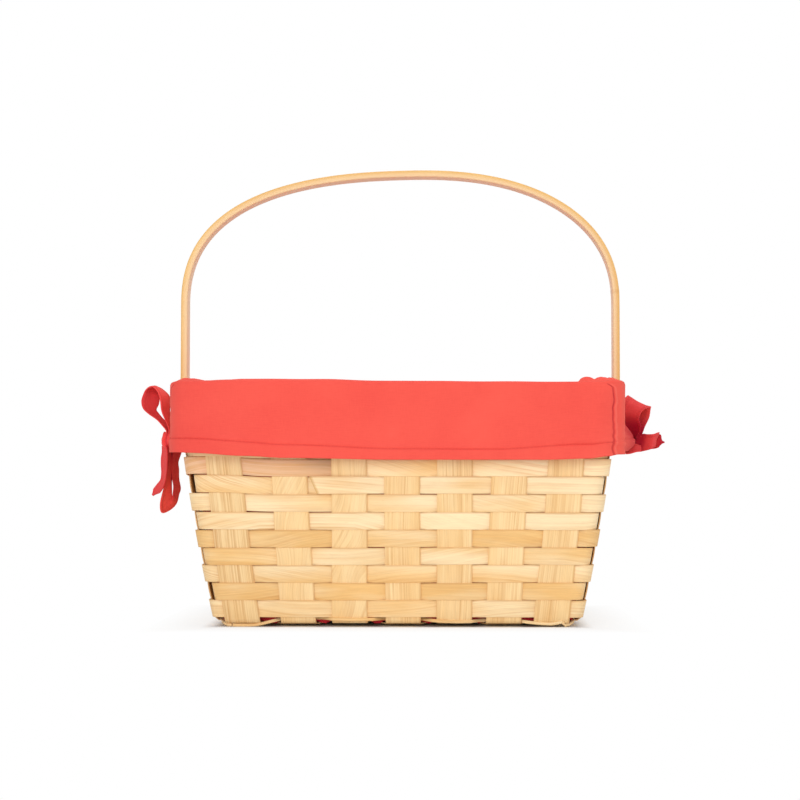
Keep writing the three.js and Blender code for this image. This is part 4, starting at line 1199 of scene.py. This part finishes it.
def floor_point(across, turn, share, half):
    """A point of the bag's floor, from the seam along its middle to its edge."""
    share = 1 - (1 - share) ** FLOOR_SPREAD
    edge = wall_point(turn, BAG_FLOOR, -FLOOR_INSET, BAG_CORNER)
    seam_x = (2 * across - 1) * (half_length(BAG_FLOOR) - FLOOR_INSET)
    point = Vector((seam_x, 0, BAG_FLOOR)).lerp(edge, share)
    rise = FLOOR_RISE * (wander(point.x * 14, point.y * 14, half * 2.0) + 0.6) * (1 - share)
    at_end = smooth(abs(point.x), *END_SAG_FROM)
    between = stake_gap(-half * point.x) * (1 - smooth(abs(point.x), *GAPS_LOST))
    sag = SAG_AT_WALLS + (SAG_AT_ENDS - SAG_AT_WALLS) * at_end + SAG_IN_GAPS * between
    point.z = BAG_FLOOR + rise - sag * smooth(share, 0.965, 1.0)
    return point


def liner_point(half, across, row):
    """A point of the liner. half is -1 at the front and 1 at the back; across runs from 0 at the
    left end's middle to 1 at the right end's; row counts from the middle of the floor to the hem."""
    distance = -END_MIDDLE + across * ROUND / 2
    turn = wall_turn(distance, RIM_HEIGHT)
    up_wall = row - FLOOR_ROWS
    over_fold = up_wall - WALL_ROWS
    down_flap = over_fold - LIP_ROWS
    if up_wall <= 0:
        point = floor_point(across, turn, row / FLOOR_ROWS, half)
    elif over_fold <= 0:
        point = bag_wall_point(turn, up_wall / WALL_ROWS, half)
    elif down_flap <= 0:
        point = fold_point(distance, turn, over_fold / LIP_ROWS, half)
    else:
        point = flap_point(distance, turn, FLAP_DROP * down_flap / FLAP_ROWS, half)
    if half > 0:
        point = Vector((-point.x, -point.y, point.z))
    return point


def liner_columns():
    """Places of the mesh's columns across a half, close together at the seams and the gathers."""
    length = ROUND / 2
    places = [i / LINER_COLUMNS for i in range(LINER_COLUMNS + 1)]
    for seam in SEAMS:
        share = (seam + END_MIDDLE) / length
        reach = (SEAM_COLUMNS[-1] + 1) * MM / length
        places = [place for place in places if abs(place - share) > reach]
        places += [share + column * MM / length for column in SEAM_COLUMNS]
    low, high = GATHER_FINE
    places = [place for place in places if not low < place * length - END_MIDDLE < high]
    steps = round((high - low) / FINE_STEP)
    places += [(low + (high - low) * i / steps + END_MIDDLE) / length for i in range(steps + 1)]
    return sorted(places)


def painted_shade_at(place, distance, drop):
    """How much painted shade the cloth has: in the bows' shadow, round the left corner as it turns from
    the light, and at the floor's edge in the shade under the bag.
    """
    side = math.copysign(1, place.x)
    bow = Vector((side * KNOT_REACH, 0, KNOT_HEIGHT + 4 * MM))
    near_bow = BOW_SHADE[side] * (1 - smooth((place - bow).length, *BOW_SHADE_REACH))
    round_corner = CORNER_SHADE * plateau(distance, *CORNER_SHADE_REACH)
    at_edge = FLOOR_SHADE * (1 - smooth(place.z, *FLOOR_SHADE_HEIGHTS)) if drop < 0 else 0
    return max(near_bow, round_corner, at_edge)


def make_liner():
    bm = bmesh.new()
    rows = FLOOR_ROWS + WALL_ROWS + LIP_ROWS + FLAP_ROWS
    places = liner_columns()
    layer = bm.loops.layers.uv.new("along")
    hem_layer, seam_layer, painted_shade_layer = (
        bm.verts.layers.float.new(key) for key in ("from_hem_line", "from_seam", "painted_shade"))
    for half in (-1, 1):
        made = bmesh.ops.create_grid(bm, x_segments=len(places) - 1, y_segments=rows, size=0.5)
        for vert in made["verts"]:
            column = round((vert.co.x + 0.5) * (len(places) - 1))
            vert.co = (places[column], (vert.co.y + 0.5) * rows, half)
    for face in bm.faces:
        face.smooth = True
        for loop in face.loops:
            across, row, half = loop.vert.co
            loop[layer].uv = (across * ROUND / 2 + half, row * FLAP_DROP / FLAP_ROWS)
    for vert in bm.verts:
        across, row, half = vert.co
        distance = -END_MIDDLE + across * ROUND / 2
        drop = FLAP_DROP * (row - rows + FLAP_ROWS) / FLAP_ROWS
        vert.co = liner_point(int(round(half)), across, row)
        hemmed = SEAMS[0] < distance + 6 * MM and distance < SEAMS[1] + 6 * MM
        vert[hem_layer] = drop - (FLAP_DROP - eased(HEM_DEPTHS, distance)) if hemmed else 1
        vert[seam_layer] = from_seam(distance, vert.co.z) if drop > 0 else 1
        # Painted shade, by the bows, round the left corner and at the floor's edge.
        vert[painted_shade_layer] = painted_shade_at(vert.co, distance, drop)
    bmesh.ops.remove_doubles(bm, verts=bm.verts, dist=0.02 * MM)
    bmesh.ops.recalc_face_normals(bm, faces=bm.faces)
    liner = mesh_object("liner_cotton", bm)
    thick = liner.modifiers.new("cloth", "SOLIDIFY")
    thick.thickness = CLOTH
    thick.offset = 0
    dress(liner, LINER_COTTON, "basket", "red_cotton",
          "liner_bag", "liner_front_flap", "liner_back_flap")
    return liner


bag_depth = 2 * (half_depth(BAG_FLOOR) - BAG_INSET)
bag_length = 2 * (half_length(BAG_FLOOR) - BAG_INSET)
rise = LIP_HEIGHT - BAG_FLOOR + FLAP_DROP + OVER_RIM
make_liner()
bag_length + 2 * rise
bag_depth + 2 * rise
bag_length * bag_depth + ROUND * rise

# Ties. Flat cotton ribbons with stitched edges, sewn to the flaps at the hem. At each end two are
# knotted in a bow below the handle's foot: a loop up, a loop down, and cut ends.
TIE_WIDTH = 13 * MM
TIE_THICKNESS = 1.0 * MM
TIE_STITCHES = TIE_WIDTH / 2 - 1.6 * MM
TIE_EDGE = 0.3 * MM
TIE_CRUMPLE = 0.5 * MM
TIE_CREASE = 0.25 * MM
TIE_STEPS, TIE_ROWS, STATION_STEPS = 110, 10, 24


def tie_lines(tree, v):
    return [(abs(v) - TIE_STITCHES, 0.35, 0.0)]


# The third colour is the crimson of the ribbons' painted shade.
TIE_COTTON = cotton("tie cotton", colour(250, 90, 84), colour(238, 72, 72), colour(176, 6, 46),
                    tie_lines)


def curved(a, b, c, d, t):
    """A point between b and c, on the Catmull-Rom curve through four points."""
    return 0.5 * (2 * b + (c - a) * t + (2 * a - 5 * b + 4 * c - d) * t * t
                  + (3 * b - a - 3 * c + d) * t * t * t)


def smooth_edges(stations):
    """Evenly spread pairs of edge points, along the curves through a ribbon's stations."""
    ends = [(Vector(station[:3]) * MM, Vector(station[3:]) * MM) for station in stations]
    ends = [ends[0]] + ends + [ends[-1]]
    fine = []
    for stretch in zip(ends, ends[1:], ends[2:], ends[3:]):
        for step in range(STATION_STEPS):
            fine.append([curved(*edge, step / STATION_STEPS) for edge in zip(*stretch)])
    fine.append(ends[-1])
    lengths = lengths_along([(near + far) / 2 for near, far in fine])
    even = []
    for i in range(TIE_STEPS + 1):
        at, share = stretch_at(lengths, lengths[-1] * i / TIE_STEPS)
        even.append([fine[at][edge].lerp(fine[at + 1][edge], share) for edge in (0, 1)])
    return even, lengths[-1]


def make_ribbon(name, side, stations, seed, tip, inside, outside, returning, cup, knotted, reach):
    """A ribbon through stations, each its two edges as out, back and up in millimetres from the
    knot. inside, outside, returning and knotted say how much painted shade it has on its two faces,
    on the stretch that comes back to the knot, and within reach of the knot."""
    edges, length = smooth_edges(stations)
    tip, cup, reach = tip * MM, cup * MM, reach * MM

    def at(u, edge):
        i = min(max(u / length * TIE_STEPS, 0), TIE_STEPS - 0.001)
        return edges[int(i)][edge].lerp(edges[int(i) + 1][edge], i - int(i))

    def bend(u, v, w):
        near, far = at(u, 0), at(u, 1)
        ahead = at(min(u + 1 * MM, length), 0) + at(min(u + 1 * MM, length), 1)
        behind = at(max(u - 1 * MM, 0), 0) + at(max(u - 1 * MM, 0), 1)
        across = far - near
        normal = (ahead - behind).cross(across).normalized()
        share = v / TIE_WIDTH
        if tip:
            share *= min(1.0, 0.1 + (length - u) / tip)
        crumple = TIE_CRUMPLE * wander(u * 75, v * 60, seed)
        crumple += TIE_CREASE * wander(u * 30, v * 300, seed + 4)
        lift = cup * (1 - (2 * v / TIE_WIDTH) ** 2) + crumple * smooth(min(u, length - u), 0, 5 * MM)
        spot = near + across * (share + 0.5) + normal * (w + lift)
        return Vector((side * (KNOT_REACH + spot.x), spot.y, KNOT_HEIGHT + spot.z))

    # Painted shade: on the face turned from the light, on the stretch coming back, and by the knot.
    def painted_shade(u, v, w):
        near_knot = 1 - smooth(min(u, length - u), 0.35 * reach, reach)
        back = returning * smooth(u, 0.5 * length, 0.6 * length)
        return max(inside if w < 0 else outside, back, knotted * near_knot)

    tie = flat_strip(name, (length, TIE_WIDTH, TIE_THICKNESS), TIE_STEPS, TIE_ROWS, TIE_EDGE, bend,
                     {"painted_shade": painted_shade})
    return tie, length


def make_knot(name, side, middle, size, painted_shade):
    """The turn of ribbon round the middle of a bow, drawn tight: a lump with a few creases, with
    painted shade in the creases, and over the whole lump as much as its last argument says.
    """
    bm = bmesh.new()
    bmesh.ops.create_icosphere(bm, subdivisions=5, radius=1)
    layer = bm.verts.layers.float.new("painted_shade")
    uv = bm.loops.layers.uv.new("along")
    for face in bm.faces:
        face.smooth = True
        for loop in face.loops:
            loop[uv].uv = (loop.vert.co.z * size[2] * MM, loop.vert.co.x * size[0] * MM)
    for vert in bm.verts:
        crease = math.sin(vert.co.x * 5 + 1.5 * wander(vert.co.z * 0.8, side))
        # Painted shade in the creases, on top of the knot's overall painted shade.
        vert[layer] = min(painted_shade + 0.5 * smooth(-crease, 0.3, 1), 1)
        grown = vert.co * (1 + 0.09 * crease + 0.08 * wander(*(vert.co * 2)))
        out, back, up = ((at + way * reach) * MM for at, way, reach in zip(middle, grown, size))
        vert.co = (side * (KNOT_REACH + out), back, KNOT_HEIGHT + up)
    bmesh.ops.recalc_face_normals(bm, faces=bm.faces)
    knot = mesh_object(name, bm)
    dress(knot, TIE_COTTON, "basket", "red_cotton")
    return knot


LEFT_LOOP = [(1, -5, 1, -1, -3, 1), (-1, -5, 8, -2, 3, 7), (1, -10, 17, -2, 1, 16),
             (3.5, -12, 24, -1, 0, 23.5), (4.7, -12, 30.6, -1, 0, 32), (5.8, -12, 35, 0, 0, 35.7),
             (7.8, -11, 38.4, 4, 1, 39.3), (11.4, -10, 41, 8.2, 2, 41.3), (15.7, -9, 39, 9, 2, 38.8),
             (18.3, -9, 34.5, 7.3, 1, 33.4), (19.5, -9, 30, 7.6, 0, 28.4), (18.2, -9, 25, 9, -1, 24.5),
             (14.4, -8, 21.3, 7.5, 0, 22), (8.4, -7, 16.8, 4.7, 1, 18.5), (4.4, -6, 12, 2, 2, 15.3),
             (1.3, -4, 7.4, -0.4, 3, 12), (1, -5, 1, -1, -3, 2)]
LEFT_LOW_LOOP = [(1, -7, -3, -3, 3, -3), (0, -8, -10, -3.8, 3, -10), (-0.5, -9, -18.5, -3.6, 2, -18.5),
                 (0.7, -10, -30, -3, 0, -29), (2.8, -10, -38, -3, -1, -36.7),
                 (4.6, -10, -47.3, -3.4, -1, -41.6), (3.9, -7, -54, -3.8, -1, -43.5),
                 (-0.6, 0, -52, -3.9, -2, -44), (-5, 5, -47, -4, -2, -42.8),
                 (-7, 8, -40, -4.4, -2, -38), (-8.4, 9, -35.6, -4.5, -2, -33.7),
                 (-7.4, 9, -28.3, -3.5, -2, -27.6), (-7, 9, -21.4, -3.1, -2, -20.7),
                 (-6.3, 9, -15.3, -3.1, -2, -14.6), (-9, 9, -8, -3.5, -2, -5), (-10, 8, -1, -2, 0, 0)]
LEFT_TAIL = [(4, -6, -3.3, 0, -13, -3.3), (3.7, -6, -8, -1, -15, -8.4),
             (4.5, -6, -12.4, -1.6, -16, -13), (4.9, -6, -18.5, -1.6, -17, -18.5),
             (4.5, -6, -24.6, -0.8, -17, -25.3), (4.8, -6, -29, 0, -17, -30.6),
             (7.6, -7, -33, 1.2, -17, -34.4), (10, -8, -36.3, 4.2, -17, -38.5),
             (12.4, -10, -40, 7.9, -16, -41)]
RIGHT_LOOP = [(0.4, -2, 2, 2, -7, 2.6), (-4, 0, 6.5, 5.4, -8, 7.5), (-8, -1, 13, 5, -10, 12.3),
              (-10, -2, 19.7, 4, -10, 17), (-9, -2, 25.4, 5.7, -10, 22), (-7, -1, 31.2, 9.3, -9, 25),
              (-3.6, 3, 35, 13.4, -5, 26.4), (-2.4, 8, 33.4, 13.4, -1, 24), (-3.3, 10, 26, 12.4, 1, 18),
              (-2.7, 9, 18.2, 9.6, 1, 11.7), (-0.8, 5, 9, 7.4, -1, 6.5), (1, 1, 2, 4, -3, 2.3)]
RIGHT_LOW_LOOP = [(2.8, -4, 4.2, 1.3, -4, -3), (7, -6, 5.8, 3.9, -5, -7.6),
                  (10.2, -8, 5.4, 7.4, -7, -7.4), (14.2, -10, 5.5, 11, -9, -6.5),
                  (17.3, -9, 6.2, 13.1, -9, -5.6), (19.7, -4, 6.9, 16.4, -5, -4),
                  (19.6, 1, 6.4, 17, -1, -3.7), (15.8, 4, 5.6, 13.2, 1, -5.2), (9, 3, 5, 6.3, 0, -6.4),
                  (3.3, 0, 3.5, 1.5, -2, -3.4)]
RIGHT_TAIL = [(5.7, 2, 3.6, 4.2, 2, -4.8), (12, 3, 4.3, 9.6, 3, -5.5), (17, 2, 5.4, 14.6, 0, -5.6),
              (21, 0, 5.4, 18.4, -3, -4.7), (22.3, -1, 2, 20.6, -4, -3.2), (24.3, -2, 0, 23, -4, -0.8)]
RIGHT_SHORT_TAIL = [(5.3, -6, -3.4, 4.8, -15, -7.4), (0.5, -7, -2.2, 0, -17, -8.6),
                    (-3.7, -8, -3.6, -3.9, -18, -9.6), (-7.5, -9, -5.6, -7.6, -18, -9.8),
                    (-9.7, -10, -7.9, -9.9, -18, -9.6)]
# Each ribbon: name, side, the node it stands for, stations, length of its cut tip, how much painted
# shade it has inside, outside and coming back, how much it is cupped, and the painted shade by the
# knot and how far that reaches.
RIBBONS = [
    ("left_upper_loop", -1, "left_front_tie", LEFT_LOOP, 0, 0.3, 0.0, 0.0, 0.5, 0.6, 7),
    ("left_lower_loop", -1, "left_back_tie", LEFT_LOW_LOOP, 0, 0.0, 0.0, 0.6, 0.3, 0.7, 36),
    ("left_cut_end", -1, None, LEFT_TAIL, 5, 0.25, 0.45, 0.0, 0.8, 0.0, 1),
    ("right_upper_loop", 1, "right_front_tie", RIGHT_LOOP, 0, 0.25, 0.0, 0.0, 0.8, 1.0, 26),
    ("right_lower_loop", 1, "right_back_tie", RIGHT_LOW_LOOP, 0, 0.25, 0.2, 0.0, 0.6, 0.9, 12),
    ("right_cut_end", 1, None, RIGHT_TAIL, 4, 0.0, 0.2, 0.0, 0.4, 0.8, 8),
    ("right_short_end", 1, None, RIGHT_SHORT_TAIL, 4, 0.0, 0.3, 0.0, 0.8, 0.0, 1),
]
# Each knot's last number is how much painted shade it has all over.
KNOTS = {
    -1: make_knot("left_knot", -1, (0.4, -5, 0), (4.2, 5, 7.4), 0.0),
    1: make_knot("right_knot", 1, (2.6, 0, 1.5), (3.4, 4, 4.0), 1.0),
}
for number, (name, side, node, stations, *looks) in enumerate(RIBBONS):
    tie, length = make_ribbon(name, side, stations, number * 2.1, *looks)
    dress(tie, TIE_COTTON, "basket", "red_cotton", *([node] if node else []))
    carried = [KNOTS[side]] if name.endswith("upper_loop") else []

# Studio. A white floor that keeps the shadow, a world that is fully white to the camera and in
# reflections and lights the basket at about half of that, and three large soft lamps: in front, at
# the right and above.
FLOOR_HALF = 4
WORLD_LIGHT = 0.55
# How the floor turns to plain white outwards from under the base: within the first distance to
# three quarters, and within the second to the whole.
FIRST_FADE = (-2 * MM, 10 * MM)
SECOND_FADE = (10 * MM, 50 * MM)


def stage_floor():
    bm = bmesh.new()
    bmesh.ops.create_grid(bm, x_segments=1, y_segments=1, size=FLOOR_HALF)
    floor = mesh_object("studio_floor", bm)
    material, tree, shader = new_material("white paper")
    place = add(tree, "TexCoord")["Object"]
    grain = noise_value(place, 40.0, 2.0, 0.5)
    paper = blend_colours(grain, colour(246, 246, 246), colour(250, 250, 250))
    plug(shader, Base_Color=paper, Roughness=0.9, Specular_IOR_Level=0.1)
    x, y, _ = add(tree, "SeparateXYZ", Vector=place)
    away = maths("MAXIMUM", abs(x) - BASE_HALF_LENGTH, abs(y) - BASE_HALF_DEPTH)
    plain = spread(away, *FIRST_FADE, 0.0, 0.75) + spread(away, *SECOND_FADE, 0.0, 0.25)
    seen = plain * add(tree, "LightPath")["Is Camera Ray"]
    white = add(tree, "Emission", Color=WHITE, Strength=1.0)[0]
    mixed = add(tree, "MixShader", i0=seen, i1=Wire(shader.outputs[0]), i2=white)[0]
    plug(tree.nodes["Material Output"], Surface=mixed)
    floor.data.materials.append(material)


def white_world():
    world = bpy.data.worlds.new("studio")
    bpy.context.scene.world = world
    world.use_nodes = True
    tree = world.node_tree
    tree.nodes.clear()
    rays = add(tree, "LightPath")
    reflected = maths("MAXIMUM", rays["Is Glossy Ray"], rays["Is Transmission Ray"])
    strength = maths("MAXIMUM", maths("MAXIMUM", rays["Is Camera Ray"], reflected), WORLD_LIGHT)
    add(tree, "OutputWorld", Surface=add(tree, "Background", Color=WHITE, Strength=strength)[0])


def lamp(name, place, aim, size, power):
    data = bpy.data.lights.new(name, "AREA")
    data.shape = "DISK"
    data.size = size
    data.energy = power
    made = bpy.data.objects.new(name, data)
    made.location = place
    made.rotation_euler = (Vector(aim) - Vector(place)).to_track_quat("-Z", "Y").to_euler()
    bpy.context.scene.collection.objects.link(made)


stage_floor()
white_world()
lamp("front_lamp", (-0.6, -2.3, 0.8), (0, 0, 0.12), 1.8, 23)
lamp("side_lamp", (2.2, -1.0, 1.2), (0, 0, 0.12), 1.2, 10)
lamp("top_lamp", (0, 0.3, 2.2), (0, 0, 0.1), 1.6, 11)
bpy.context.scene.view_settings.view_transform = "Standard"
